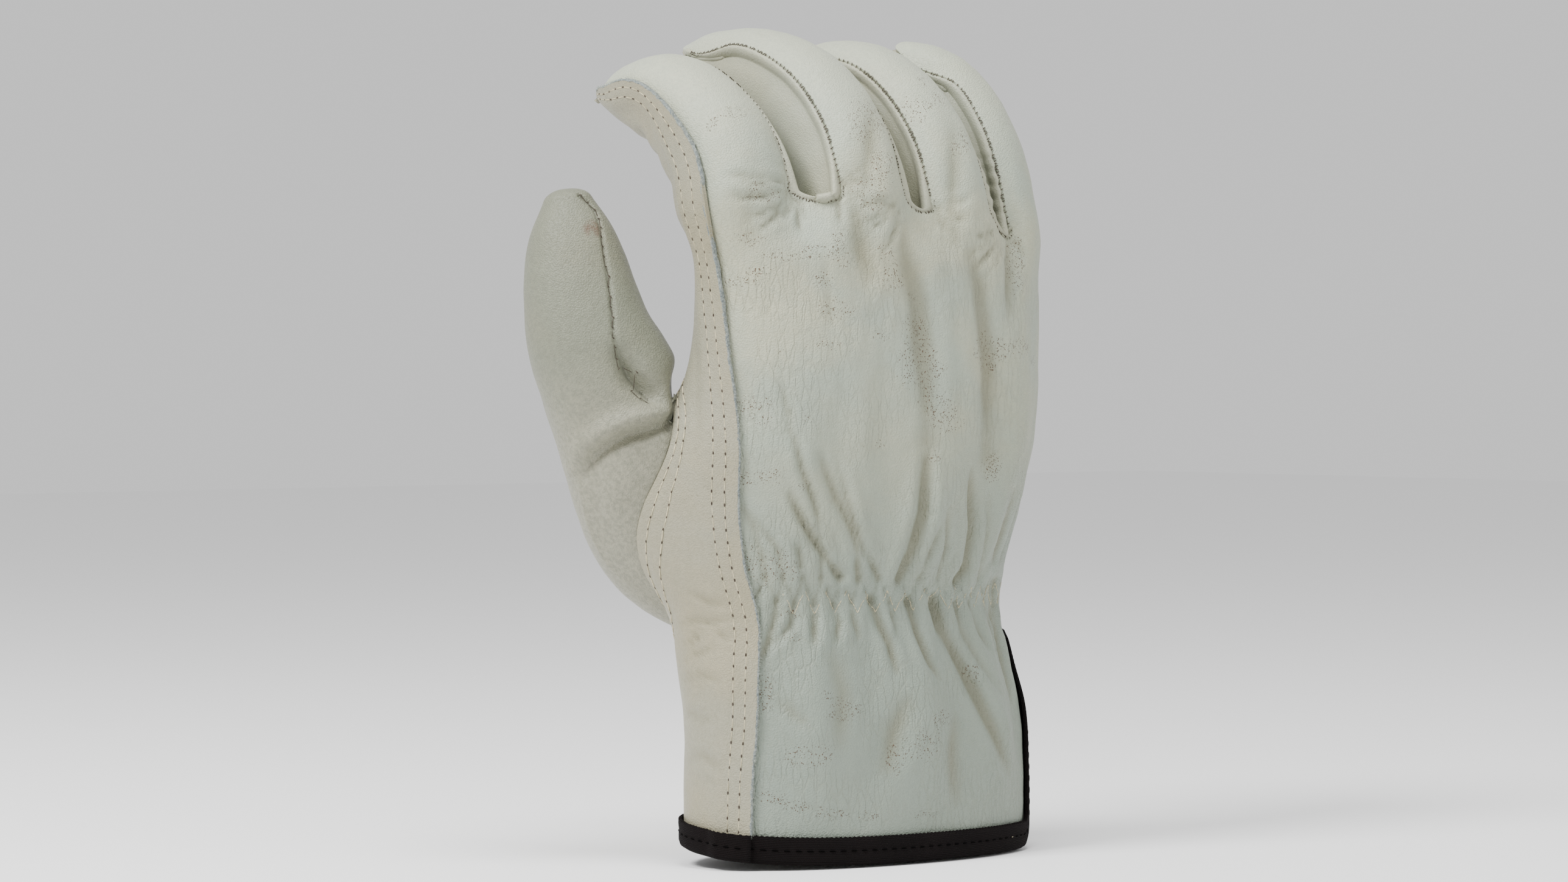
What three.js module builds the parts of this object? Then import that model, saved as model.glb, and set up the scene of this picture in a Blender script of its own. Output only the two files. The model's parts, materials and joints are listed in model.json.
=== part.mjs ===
// Driver glove of grain leather, right hand, modelled in the form it has when filled by a hand.
// Millimetres, +Z towards the fingertips, back of the hand towards -Y, thumb towards -X.
// The origin is the middle of the cuff opening, level with the lowest edge of the binding.
// Each panel is a quad net over one shared form, with an outer and an inner face and a rim,
// so every piece is a closed wall of hide.

import * as THREE from 'three';

// Driving sizes
const hide = 1.2;               // thickness of the leather
const seat = 0.3;               // clearance between two pieces sewn together
const recess = 2.4;             // depth of the side strips below the finger edges
const ventTop = 51;             // height where the little-finger vent closes
const ventCorner = 10;          // rounded corner between vent and hem
const hemRise = 1.2;            // height of the leather edge inside the folded binding
const tapeWidth = 7;            // binding seen on each face
const tapeSeat = 0.5;           // clearance inside the folded binding
const tapeThick = 0.9;          // thickness of the binding tape
const fingerSquare = 2.5;       // how square the finger sections are, 2 being an ellipse
const wristHeight = 66;         // height of the shirred elastic line
const leastReach = 0.4;         // smallest half width left inside a closed fingertip

// Cross-sections of the hand, from the hem up: centre, half width, depth to the back and to
// the palm, squareness, bow of the knuckle line, angle of the lapped seam, fullness at the thumb
const handColumns = ['z', 'x', 'y', 'half', 'back', 'palm', 'square', 'bow', 'lap', 'thenar'];
const hand = named(handColumns, [
  [0, 0.6, 0, 51.8, 26, 26, 2.15, 0, 28, 0],
  [20, 0.4, 0, 51.8, 26, 26, 2.15, 0, 29, 0],
  [36, -0.2, 0.2, 51.5, 25.5, 25.5, 2.15, 0, 32, 0],
  [49, -2.2, 1.0, 50.2, 24.5, 24.5, 2.15, 0, 35, 1],
  [61, -2.4, 1.3, 47.8, 23.5, 24.5, 2.15, 0, 34, 4.5],
  [75, -1.2, 1.0, 48.8, 24.5, 25, 2.2, 1, 28, 12],
  [90, 1.4, 0.0, 51.5, 25, 25, 2.25, 2, 25, 15],
  [104, 3.2, -1.0, 53.2, 24.5, 24, 2.3, 2, 24, 12],
  [114, 4.0, -1.8, 53.8, 24, 22, 2.3, 3, 22, 6],
  [126, 4.0, -2.6, 54, 23, 20, 2.3, 3, 18, 1],
  [142, 4.2, -3.6, 54.2, 21.5, 17, 2.35, 4, 14, 0],
  [156, 3.4, -4.2, 54.6, 20.6, 14, 2.4, 4, 10, 0],
  [170, 3.2, -4.2, 54.4, 20.0, 12, 2.4, 4, 6, 0],
]);
const thenar = { angle: -28, spread: 32, x: -0.95, y: 0.25 };

// Finger stations from the knuckle to the tip: centre, half width and half depth
const fingerColumns = ['x', 'y', 'z', 'half', 'deep'];
const fingers = {
  index: finger({ yaw: 3, radial: 166, ulnar: 56 }, [
    [-41.2, -0.8, 165, 12.8, 14.2],
    [-41.2, 2.6, 175, 12.8, 14.2],
    [-41.4, 10.5, 184, 12.8, 13.8],
    [-41.6, 21.0, 191, 12.6, 12.6],
    [-41.6, 31.5, 193.2, 11.8, 10.2],
    [-41.8, 39.5, 193.6, 9.6, 6.4],
    [-42.0, 44.5, 193.2, 6.0, 2.3],
  ]),
  middle: finger({ yaw: 4, radial: 142, ulnar: 40 }, [
    [-10.5, -8.5, 165, 12.6, 14.8],
    [-10.3, -4.9, 178, 12.6, 14.2],
    [-10.6, 4.4, 190, 12.6, 13.4],
    [-11.2, 16.5, 197, 12.2, 12.6],
    [-11.8, 28.5, 201.0, 11.6, 11.0],
    [-12.6, 40.5, 204.5, 9.6, 7.0],
    [-13.2, 47.5, 206.5, 6.0, 2.1],
  ]),
  ring: finger({ yaw: 10, radial: 146, ulnar: 40 }, [
    [19.2, -8.5, 162, 12.4, 14.4],
    [19.2, -4.5, 176, 12.4, 13.6],
    [18.2, 3.6, 188, 12.2, 12.8],
    [16.4, 13.5, 195.8, 11.8, 12.0],
    [14.0, 27.0, 198.0, 11.2, 10.8],
    [12.2, 38.5, 195.5, 9.2, 6.8],
    [11.0, 46.0, 192.5, 5.8, 2.1],
  ]),
  little: finger({ yaw: 24, radial: 138, ulnar: -14 }, [
    [44.4, -2.8, 156, 11.0, 13.0],
    [44.6, -0.2, 169, 11.0, 12.4],
    [44.4, 4.2, 182, 10.8, 11.6],
    [42.4, 9.8, 192.5, 10.4, 10.6],
    [39.4, 15.0, 200, 9.6, 8.8],
    [36.6, 19.6, 205, 7.8, 5.6],
    [34.8, 22.6, 208, 4.8, 2.1],
  ]),
};
const fingerNames = Object.keys(fingers);
const frontSeam = 46;           // angle from the side to the palm edge of a finger

// Thumb stations above the crotch: centre, half widths across and through
const thumbColumns = ['x', 'y', 'z', 'across', 'through'];
const thumb = named(thumbColumns, [
  [-61.0, 24.3, 121, 17.7, 15.6],
  [-65.0, 26.0, 131, 16.2, 14.6],
  [-66.8, 27.5, 141, 14.6, 13.2],
  [-67.8, 29.0, 151, 12.8, 11.4],
  [-68.5, 29.7, 159, 10.4, 9.2],
  [-69.2, 30.2, 166, 6.4, 5.6],
]);
const thumbTip = 3.2;           // rise of the closed tip over the last station
const thumbSquare = 2.2;        // how square the thumb's sections are
const thumbTurn = 33;           // turn of the sections about the thumb's length

// Crotches between the fingers: drop below the finger edges on the back and on the palm
const crotches = [
  { drop: 4.4, palmDrop: 4.0 },
  { drop: 4.0, palmDrop: 4.0 },
  { drop: 3.2, palmDrop: 3.6 },
];

// Long folds of the body: angle, lower and upper end, height (negative is a groove), half width
const foldColumns = ['angle', 'from', 'to', 'rise', 'spread'];
const folds = named(foldColumns, [
  [62, 66, 128, -1.6, 7],
  [78, 66, 150, -1.8, 6],
  [95, 66, 112, 1.4, 6],
  [112, 66, 140, -1.8, 6],
  [128, 70, 150, 1.6, 8],
  [146, 66, 120, -1.4, 6],
  [55, 8, 62, 1.5, 8],
  [76, 14, 64, -1.8, 6],
  [92, 10, 64, 1.6, 7],
  [108, 8, 64, -1.8, 6],
  [126, 12, 64, 1.6, 7],
  [142, 18, 64, -1.5, 6],
  [-70, 60, 120, -1.5, 9],
  [-105, 66, 130, 1.3, 9],
  [-140, 60, 110, -1.3, 8],
]);
const hemHigh = { angle: -40, spread: 62, rise: 4.6, reach: 60 };
const shirr = { dip: 1.5, band: 5, ripple: 0.8, reach: 13, pitch: 12, from: 46, to: 154 };

function named(columns, rows) {
  return rows.map((row) => Object.fromEntries(columns.map((name, i) => [name, row[i]])));
}

function finger(seams, rows) {
  const stations = named(fingerColumns, rows);
  let run = 0;
  stations.forEach((station, i) => {
    if (i > 0) {
      const last = stations[i - 1];
      run += Math.hypot(station.x - last.x, station.y - last.y, station.z - last.z);
    }
    station.run = run;
  });
  stations.forEach((station) => { station.run /= run; });
  return { ...seams, stations, length: run };
}

function mix(a, b, t) {
  return a + (b - a) * t;
}

function ease(t) {
  const c = Math.min(1, Math.max(0, t));
  return c * c * (3 - 2 * c);
}

const rad = Math.PI / 180;

// Smooth value of one column of a table at a key, through all of its rows
function follow(rows, key, at, name) {
  const last = rows.length - 1;
  if (at <= rows[0][key]) return rows[0][name];
  if (at >= rows[last][key]) return rows[last][name];
  let i = 0;
  while (rows[i + 1][key] < at) i += 1;
  const a = rows[i];
  const b = rows[i + 1];
  const before = rows[Math.max(0, i - 1)];
  const after = rows[Math.min(last, i + 2)];
  const step = b[key] - a[key];
  const slopeA = (b[name] - before[name]) / (b[key] - before[key]) * step;
  const slopeB = (after[name] - a[name]) / (after[key] - a[key]) * step;
  const t = (at - a[key]) / step;
  return (2 * t ** 3 - 3 * t ** 2 + 1) * a[name] + (t ** 3 - 2 * t ** 2 + t) * slopeA
    + (-2 * t ** 3 + 3 * t ** 2) * b[name] + (t ** 3 - t ** 2) * slopeB;
}

function rowAt(rows, key, at, names) {
  return Object.fromEntries(names.map((name) => [name, follow(rows, key, at, name)]));
}

function superCos(angle, square) {
  const c = Math.cos(angle * rad);
  return Math.sign(c) * Math.abs(c) ** (2 / square);
}

function superSin(angle, square) {
  const s = Math.sin(angle * rad);
  return Math.sign(s) * Math.abs(s) ** (2 / square);
}

function turnBetween(a, b) {
  return ((a - b + 540) % 360) - 180;
}

// Height of the folds and gathers above the plain form
function foldRise(z, angle) {
  let rise = 0;
  for (const fold of folds) {
    const along = (z - fold.from) / (fold.to - fold.from);
    if (along > 0 && along < 1) {
      const off = turnBetween(angle, fold.angle) / fold.spread;
      rise += fold.rise * Math.sin(Math.PI * along) * Math.exp(-off * off);
    }
  }
  const gathered = ease((angle - shirr.from) / shirr.pitch)
    * ease((shirr.to - angle) / shirr.pitch);
  const near = Math.exp(-(((z - wristHeight) / shirr.reach) ** 2));
  const tight = Math.exp(-(((z - wristHeight) / shirr.band) ** 2));
  rise -= gathered * shirr.dip * tight;
  rise += gathered * shirr.ripple * near * Math.cos(2 * Math.PI * angle / shirr.pitch);
  return rise;
}

// The hem runs higher round the thumb side than across the back
function hemSlope(z, angle) {
  const off = turnBetween(angle, hemHigh.angle) / hemHigh.spread;
  return hemHigh.rise * Math.exp(-off * off) * (1 - ease(z / hemHigh.reach));
}

// Point of the hand's form: angle 0 at the thumb side, 90 on the back, 180 at the little finger
function handPoint(z, angle, out) {
  const s = rowAt(hand, 'z', z, handColumns);
  const plain = (a) => {
    const across = -superCos(a, s.square);
    const off = turnBetween(a, thenar.angle) / thenar.spread;
    const full = s.thenar * Math.exp(-off * off);
    const depth = a > 0 && a < 180 ? s.back : s.palm;
    return new THREE.Vector2(
      s.x + s.half * across + thenar.x * full,
      s.y - depth * superSin(a, s.square) + s.bow * across * across + thenar.y * full);
  };
  const here = plain(angle);
  const along = plain(angle + 0.5).sub(plain(angle - 0.5)).normalize();
  const normal = new THREE.Vector2(along.y, -along.x);
  here.addScaledVector(normal, out + foldRise(z, angle));
  return new THREE.Vector3(here.x, here.y, z + hemSlope(z, angle));
}

// Frame of a finger at a fraction of its length
function fingerFrame(spec, run) {
  const place = (at) => {
    const s = rowAt(spec.stations, 'run', at, fingerColumns);
    return new THREE.Vector3(s.x, s.y, s.z);
  };
  const s = rowAt(spec.stations, 'run', run, fingerColumns);
  const ahead = place(Math.min(1, run + 0.01)).sub(place(Math.max(0, run - 0.01))).normalize();
  const side = new THREE.Vector3(Math.cos(spec.yaw * rad), Math.sin(spec.yaw * rad), 0);
  side.addScaledVector(ahead, -side.dot(ahead)).normalize();
  const back = new THREE.Vector3().crossVectors(side, ahead);
  return { centre: place(run), side, back, ahead, half: s.half, deep: s.deep };
}

// Point of a finger: angle 0 on the little-finger side, 90 on the back, 180 on the thumb side
function fingerPoint(spec, run, angle, inset) {
  const f = fingerFrame(spec, run);
  const point = f.centre.clone();
  const reach = (size) => Math.max(leastReach, size - inset);
  point.addScaledVector(f.side, reach(f.half) * superCos(angle, fingerSquare));
  point.addScaledVector(f.back, reach(f.deep) * superSin(angle, fingerSquare));
  return point;
}

// Values from one end to the other that divide a curve into equal lengths
function evenly(curve, from, to, parts) {
  const fine = 48;
  const lengths = [0];
  let last = curve(from);
  for (let i = 1; i <= fine; i += 1) {
    const next = curve(mix(from, to, i / fine));
    lengths.push(lengths[i - 1] + next.distanceTo(last));
    last = next;
  }
  return (share) => {
    const want = share / parts * lengths[fine];
    let i = 0;
    while (i < fine - 1 && lengths[i + 1] < want) i += 1;
    const t = (want - lengths[i]) / (lengths[i + 1] - lengths[i]);
    return mix(from, to, (i + t) / fine);
  };
}

function between(a, b, c, d, t) {
  const part = (k) => 0.5 * (2 * b[k] + (c[k] - a[k]) * t
    + (2 * a[k] - 5 * b[k] + 4 * c[k] - d[k]) * t * t
    + (3 * b[k] - a[k] - 3 * c[k] + d[k]) * t ** 3);
  return new THREE.Vector3(part('x'), part('y'), part('z'));
}

// Heights of the net's rows on the hand and their fractions along the fingers. Above bendFrom
// the rows of each panel run lower towards the little finger.
const handRows = [hemRise, 8, 16.5, 27, 38, 48, 55, 62.5, 70, 77.5, 85, 93, 101, 109, 117,
  123, 130.5, 138, 146, 154];
const fingerRuns = [0, 0.12, 0.25, 0.38, 0.51, 0.64, 0.75, 0.84, 0.92, 1];
const stripEnd = 8;             // row where the side strips come to their points
const tipEdge = 6;              // edge angle at the fingertips, where back and palm meet
const tipClosing = { from: 0.66, over: 0.2 };   // part of the finger where its edges close

// Angle of a finger edge: near the tip the back and the palm meet at the side
function edgeAngle(level, run) {
  return mix(level, tipEdge, ease((run - tipClosing.from) / tipClosing.over));
}

function backEdges(spec, run) {
  const radial = 180 - edgeAngle(180 - spec.radial, run);
  const ulnar = spec.ulnar < 0 ? spec.ulnar : edgeAngle(spec.ulnar, run);
  return [radial, ulnar];
}

function palmEdges(name, spec, run) {
  const radial = name === 'index' ? backEdges(spec, run)[0] : 180 + edgeAngle(frontSeam, run);
  const ulnar = name === 'little' ? 357 + spec.ulnar - 9 * run : 360 - edgeAngle(frontSeam, run);
  return [radial, ulnar];
}

function lapAngle(z) {
  return follow(hand, 'z', z, 'lap');
}

function ventAngles(z) {
  return { back: knotted(ventBack, z), palm: knotted(ventPalm, z) };
}

// A wall of hide: matching points on its outer and inner face, and the quads between them
class Wall {
  constructor(turned = false) {
    this.turned = turned;
    this.outer = [];
    this.inner = [];
    this.faces = [];
  }

  point(outer, inner) {
    this.outer.push(outer);
    this.inner.push(inner);
    return this.outer.length - 1;
  }

  face(...corners) {
    this.faces.push(this.turned ? corners.reverse() : corners);
  }

  // Fills the cells between two rows of point numbers, leaving out those with no point
  rows(low, high) {
    for (let i = 0; i + 1 < low.length; i += 1) {
      const cell = [low[i], low[i + 1], high[i + 1], high[i]];
      if (cell.every((number) => number !== null)) this.face(...cell);
    }
  }

  solid() {
    const count = this.outer.length;
    const faces = [];
    const edges = new Map();
    for (const corners of this.faces) {
      for (let i = 1; i + 1 < corners.length; i += 1) {
        const [a, b, c] = [corners[0], corners[i], corners[i + 1]];
        faces.push([a, b, c], [c + count, b + count, a + count]);
      }
      corners.forEach((from, i) => {
        const to = corners[(i + 1) % corners.length];
        edges.set(`${from} ${to}`, [from, to]);
      });
    }
    for (const [from, to] of edges.values()) {
      if (!edges.has(`${to} ${from}`)) {
        faces.push([to, from, from + count], [to, from + count, to + count]);
      }
    }
    return closed([...this.outer, ...this.inner], faces);
  }
}

function closed(points, faces) {
  const geometry = new THREE.BufferGeometry();
  const flat = points.flatMap((point) => [point.x, point.y, point.z]);
  geometry.setAttribute('position', new THREE.Float32BufferAttribute(flat, 3));
  geometry.setIndex(faces.flat());
  geometry.computeVertexNormals();
  return geometry;
}

// Distance along the girth from the lapped seam for each column of a net, as column and
// millimetre pairs: low on the hand, at the thumb's crotch and at the knuckles. The last one
// is stretched to the seam.
const backLow = [[0, 0], [33, 116]];
const backHigh = [[0, 0], [5, 20], [9, 34], [14, 56], [17, 66], [23, 91], [25, 95], [33, 121]];
const palmLow = [[0, 0], [1, 7], [2, 11], [5, 27], [9, 46], [13, 71], [30, 138]];
const palmCrotch = [[0, 0], [1, 7], [2, 9.5], [5, 13], [9, 21], [13, 42], [30, 136]];
const palmHigh = [[0, 0], [1, 7], [2, 11], [11, 45], [13, 52], [17, 70], [19, 76], [23, 94],
  [25, 100], [30, 124]];
const bendFrom = 123;
const backTop = [[0, 152], [11, 154], [20, 150], [33, 141]];
const palmTop = [[0, 152], [6, 150], [15, 152], [21, 148], [30, 141]];
const levelOff = { from: 112, to: 154 };
const thumbLean = { from: 72, to: 112 };

function knotted(knots, at) {
  let i = 0;
  while (i < knots.length - 2 && knots[i + 1][0] < at) i += 1;
  const [a, b] = [knots[i], knots[i + 1]];
  return mix(a[1], b[1], Math.min(1, Math.max(0, (at - a[0]) / (b[0] - a[0]))));
}

const girthCache = new Map();

// Angle on the hand for each share of the way round it at one height
function girth(z, from, to) {
  const key = `${z.toFixed(4)} ${to > from}`;
  if (!girthCache.has(key)) {
    girthCache.set(key, evenly((angle) => handPoint(z, angle, 0), from, to, 1));
  }
  return girthCache.get(key);
}

function hiddenAngle(z) {
  return palmAngle(z, 1);
}

// Angle on the hand of a column of the back net; column -1 lies under the palm's lap
function backAngle(z, column) {
  if (column < 0) return hiddenAngle(z);
  const high = ease((z - levelOff.from) / (levelOff.to - levelOff.from));
  const share = mix(knotted(backLow, column) / knotted(backLow, 33),
    knotted(backHigh, column) / knotted(backHigh, 33), high);
  return girth(z, lapAngle(z), ventAngles(z).back)(share);
}

function palmAngle(z, column) {
  const high = ease((z - levelOff.from) / (levelOff.to - levelOff.from));
  const lean = ease((z - thumbLean.from) / (thumbLean.to - thumbLean.from));
  const part = (knots) => knotted(knots, column) / knotted(knots, 30);
  const share = mix(mix(part(palmLow), part(palmCrotch), lean), part(palmHigh), high);
  return girth(z, lapAngle(z), ventAngles(z).palm - 360)(share);
}

// Angles of the two edges of the vent, as height and angle pairs; above it they are sewn
const ventBack = [[0, 155], [24, 159], [40, 165], [48, 168], [55, 172], [60, 172]];
const ventPalm = [[0, 176], [24, 177], [40, 177], [48, 176.9], [55, 172.9], [60, 172.9]];

// Rounds the lower corner of a panel beside the vent: moves a point of the net, given its
// distance from the vent edge and its height, onto the rounded outline
function rounded(fromVent, height) {
  const across = ventCorner - fromVent;
  const up = ventCorner - height;
  if (across <= 0 || up <= 0) return [fromVent, height];
  const shrink = Math.max(across, up) / Math.hypot(across, up);
  return [ventCorner - across * shrink, ventCorner - up * shrink];
}

function rowHeight(plan, column, row) {
  const z = handRows[row];
  if (z < bendFrom) return z;
  const top = knotted(plan.top, Math.max(0, column));
  return mix(bendFrom, top, (z - bendFrom) / (handRows[handRows.length - 1] - bendFrom));
}

// The net of one panel: rows on the hand, then rows on each finger, with a crotch between
// each pair. at(column, z) gives a hand point, and strip(finger, column, run) a finger point.
function panelNet(wall, plan) {
  const last = handRows.length - 1;
  const handLine = (column, row, inset) => plan.at(
    column, rowHeight(plan, column, row), row, inset);
  const numbers = handRows.map((z, row) => plan.columns.map((column) => {
    if (plan.skips(column, row)) return null;
    return wall.point(handLine(column, row, 0), handLine(column, row, hide));
  }));
  for (let row = 0; row < last; row += 1) wall.rows(numbers[row], numbers[row + 1]);
  const joints = new Map();
  const strips = fingerNames.map((name) => plan.columns.filter((c) => plan.owner(c, name)));
  const bridged = (column, first, second, inset) => between(handLine(column, last - 1, inset),
    handLine(column, last, inset), first, second, 0.5);
  strips.forEach((columns, f) => {
    const name = fingerNames[f];
    const low = columns.map((column) => numbers[last][plan.columns.indexOf(column)]);
    const middle = columns.map((column) => {
      const faces = [0, hide].map((inset) => bridged(column,
        plan.strip(name, column, 0, inset), plan.strip(name, column, fingerRuns[1], inset), inset));
      return wall.point(...faces);
    });
    wall.rows(low, middle);
    let below = middle;
    columns.forEach((column, i) => joints.set(`${f} ${column}`, [middle[i]]));
    for (const run of fingerRuns) {
      const row = columns.map((column) => wall.point(
        plan.strip(name, column, run, 0), plan.strip(name, column, run, hide)));
      wall.rows(below, row);
      if (run === 0) columns.forEach((column, i) => joints.get(`${f} ${column}`).push(row[i]));
      below = row;
    }
  });
  crotches.forEach((crotch, f) => {
    const from = strips[f][strips[f].length - 1];
    const to = strips[f + 1][0];
    const columns = plan.columns.filter((column) => column >= from && column <= to);
    const low = columns.map((column) => numbers[last][plan.columns.indexOf(column)]);
    const left = joints.get(`${f} ${from}`);
    const right = joints.get(`${f + 1} ${to}`);
    const rim = columns.map((column, i) => {
      if (i === 0) return left[1];
      if (i === columns.length - 1) return right[1];
      const t = i / (columns.length - 1);
      return wall.point(...[0, hide].map((inset) => plan.saddle(f, t, inset)));
    });
    const middle = columns.map((column, i) => {
      if (i === 0) return left[0];
      if (i === columns.length - 1) return right[0];
      const t = i / (columns.length - 1);
      return wall.point(...[0, hide].map((inset) => {
        const end = plan.saddle(f, t, inset);
        const start = handLine(column, last, inset);
        const before = handLine(column, last - 1, inset);
        return between(before, start, end, end.clone().multiplyScalar(2).sub(start), 0.5);
      }));
    });
    wall.rows(low, middle);
    wall.rows(middle, rim);
  });
}

// Edge of a crotch: an arc hung between the facing edges of two fingers
function hungArc(left, right, drop, t) {
  const point = left.clone().lerp(right, (1 - Math.cos(Math.PI * t)) / 2);
  point.z -= drop * Math.sin(Math.PI * t);
  return point;
}

// Columns of each panel that run on into a finger
const backOwners = { index: [-1, 5], middle: [9, 14], ring: [17, 23], little: [25, 33] };
const palmOwners = { index: [0, 11], middle: [13, 17], ring: [19, 23], little: [25, 30] };
const lapTurn = { root: 30, tip: 14 };   // angle that the lap takes up on the index finger
const lapRise = hide + seat;

function count(from, to) {
  return Array.from({ length: to - from + 1 }, (_, i) => from + i);
}

function owns(owners) {
  return (column, name) => column >= owners[name][0] && column <= owners[name][1];
}

// Point of a panel's lower part from its distance to the vent edge and its height
function cuffPoint(total, edge, fromVent, height, inset) {
  const z = height + hemRise;
  const angle = girth(z, lapAngle(z), edge(z))((total - fromVent) / total);
  return handPoint(z, angle, -inset);
}

function backVent(z) {
  return ventAngles(z).back;
}

function palmVent(z) {
  return ventAngles(z).palm - 360;
}

function backStrip(name, column, run, inset) {
  const spec = fingers[name];
  const [first, last] = backOwners[name];
  const [radial, ulnar] = backEdges(spec, run);
  if (column < 0) {
    return fingerPoint(spec, run, radial + mix(lapTurn.root, lapTurn.tip, run), inset);
  }
  const start = Math.max(0, first);
  const spread = evenly((angle) => fingerPoint(spec, run, angle, 0), radial, ulnar, last - start);
  return fingerPoint(spec, run, spread(column - start), inset);
}

function palmStrip(name, column, run, inset) {
  const spec = fingers[name];
  const [first, last] = palmOwners[name];
  const [radial, ulnar] = palmEdges(name, spec, run);
  const turn = mix(lapTurn.root, lapTurn.tip, run);
  if (name === 'index' && column < 2) {
    return fingerPoint(spec, run, radial + turn * column, inset - lapRise);
  }
  const start = name === 'index' ? 1 : first;
  const from = name === 'index' ? radial + turn : radial;
  const spread = evenly((angle) => fingerPoint(spec, run, angle, 0), from, ulnar, last - start);
  return fingerPoint(spec, run, spread(column - start), inset);
}

function saddle(strip, owners) {
  return (f, t, inset, drop) => {
    const left = strip(fingerNames[f], owners[fingerNames[f]][1], 0, inset);
    const right = strip(fingerNames[f + 1], owners[fingerNames[f + 1]][0], 0, inset);
    return hungArc(left, right, drop, t);
  };
}

function backPanel() {
  const wall = new Wall();
  const backSaddle = saddle(backStrip, backOwners);
  panelNet(wall, {
    columns: count(-1, 33),
    top: backTop,
    owner: owns(backOwners),
    skips: () => false,
    strip: backStrip,
    saddle: (f, t, inset) => backSaddle(f, t, inset, crotches[f].drop),
    at: (column, z, row, inset) => {
      if (column < 0) return handPoint(z, hiddenAngle(z), -inset);
      const total = knotted(backLow, 33);
      const [fromVent, height] = rounded(total - knotted(backLow, column), z - hemRise);
      if (z < ventTop) return cuffPoint(total, backVent, fromVent, height, inset);
      return handPoint(z, backAngle(z, column), -inset);
    },
  });
  return wall.solid();
}

// The hole for the thumb: a block of the palm net whose edge is drawn onto an oval
const hole = { column: 9, row: 10, half: 4, fade: 1.7 };

// Angle and height of a spot of the palm net, in columns and rows that needn't be whole
function palmSpot(column, row) {
  const across = column - hole.column;
  const up = row - hole.row;
  const reach = Math.max(Math.abs(across), Math.abs(up)) / hole.half;
  const radius = Math.hypot(across, up) / hole.half;
  let shrink = 1;
  if (reach > 0 && reach < hole.fade) {
    shrink = mix(1, reach / radius, ease((hole.fade - reach) / (hole.fade - 1)));
  }
  const r = hole.row + up * shrink;
  const low = Math.min(handRows.length - 2, Math.floor(r));
  const z = mix(handRows[low], handRows[low + 1], r - low);
  return { z, angle: palmAngle(z, hole.column + across * shrink) };
}

function inHole(column, row) {
  return Math.abs(column - hole.column) < hole.half && Math.abs(row - hole.row) < hole.half;
}

function palmPanel() {
  const wall = new Wall(true);
  const palmSaddle = saddle(palmStrip, palmOwners);
  panelNet(wall, {
    columns: count(0, 30),
    top: palmTop,
    owner: owns(palmOwners),
    skips: inHole,
    strip: palmStrip,
    saddle: (f, t, inset) => palmSaddle(f, t, inset, crotches[f].palmDrop),
    at: (column, z, row, inset) => {
      const lift = column < 2 ? lapRise : 0;
      const total = knotted(palmLow, 30);
      const [fromVent, height] = rounded(total - knotted(palmLow, column), z - hemRise);
      if (z < ventTop && row < hole.row - hole.half * hole.fade) {
        return cuffPoint(total, palmVent, fromVent, height, inset - lift);
      }
      if (z >= bendFrom) return handPoint(z, palmAngle(z, column), lift - inset);
      const spot = palmSpot(column, row);
      return handPoint(spot.z, spot.angle, lift - inset);
    },
  });
  return wall.solid();
}

// Side strip between two fingers: down one finger, across the crotch and up the next
const stripAcross = [0, 0.3, 0.65, 1];
const crotchSteps = 3;
const stripBulge = 1.2;         // how far the strip's middle stands out of its edges

function sideStrip(f) {
  const wall = new Wall(true);
  const [left, right] = [fingerNames[f], fingerNames[f + 1]];
  const edge = (name, run, across, inset) => {
    const spec = fingers[name];
    const onLeft = name === left;
    const back = backEdges(spec, run)[onLeft ? 1 : 0];
    const palm = onLeft ? -edgeAngle(frontSeam, run) : 180 + edgeAngle(frontSeam, run);
    const sunk = recess - stripBulge * Math.sin(Math.PI * across);
    return fingerPoint(spec, run, mix(back, palm, across), sunk + inset);
  };
  const line = (name, run) => stripAcross.map((across) => wall.point(
    edge(name, run, across, 0), edge(name, run, across, hide)));
  const runs = fingerRuns.slice(0, stripEnd + 1);
  const lines = runs.map((run) => line(left, run)).reverse();
  for (let step = 1; step < crotchSteps; step += 1) {
    const t = step / crotchSteps;
    lines.push(stripAcross.map((across) => {
      const drop = mix(crotches[f].drop, crotches[f].palmDrop, across);
      return wall.point(...[0, hide].map((inset) => hungArc(edge(left, 0, across, inset),
        edge(right, 0, across, inset), drop + inset, t)));
    }));
  }
  runs.forEach((run) => lines.push(line(right, run)));
  for (let i = 0; i + 1 < lines.length; i += 1) wall.rows(lines[i], lines[i + 1]);
  return wall.solid();
}

// Thumb: one piece from a hidden flange under the rim of the hole, out and up to the tip
const flange = { far: 1.2, near: 0.93, sunk: hide + 1.5 };
const thumbRise = [0.12, 0.3, 0.5, 0.75];
const thumbDome = [[0.72, 0.62]];

// How the thumb leaves the hole, below and at its top: outward, aside from the hand, and up
const thumbLift = [{ out: 0.55, aside: 1, up: 0.5 }, { out: 0.3, aside: 0.25, up: 0.9 }];

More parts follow.
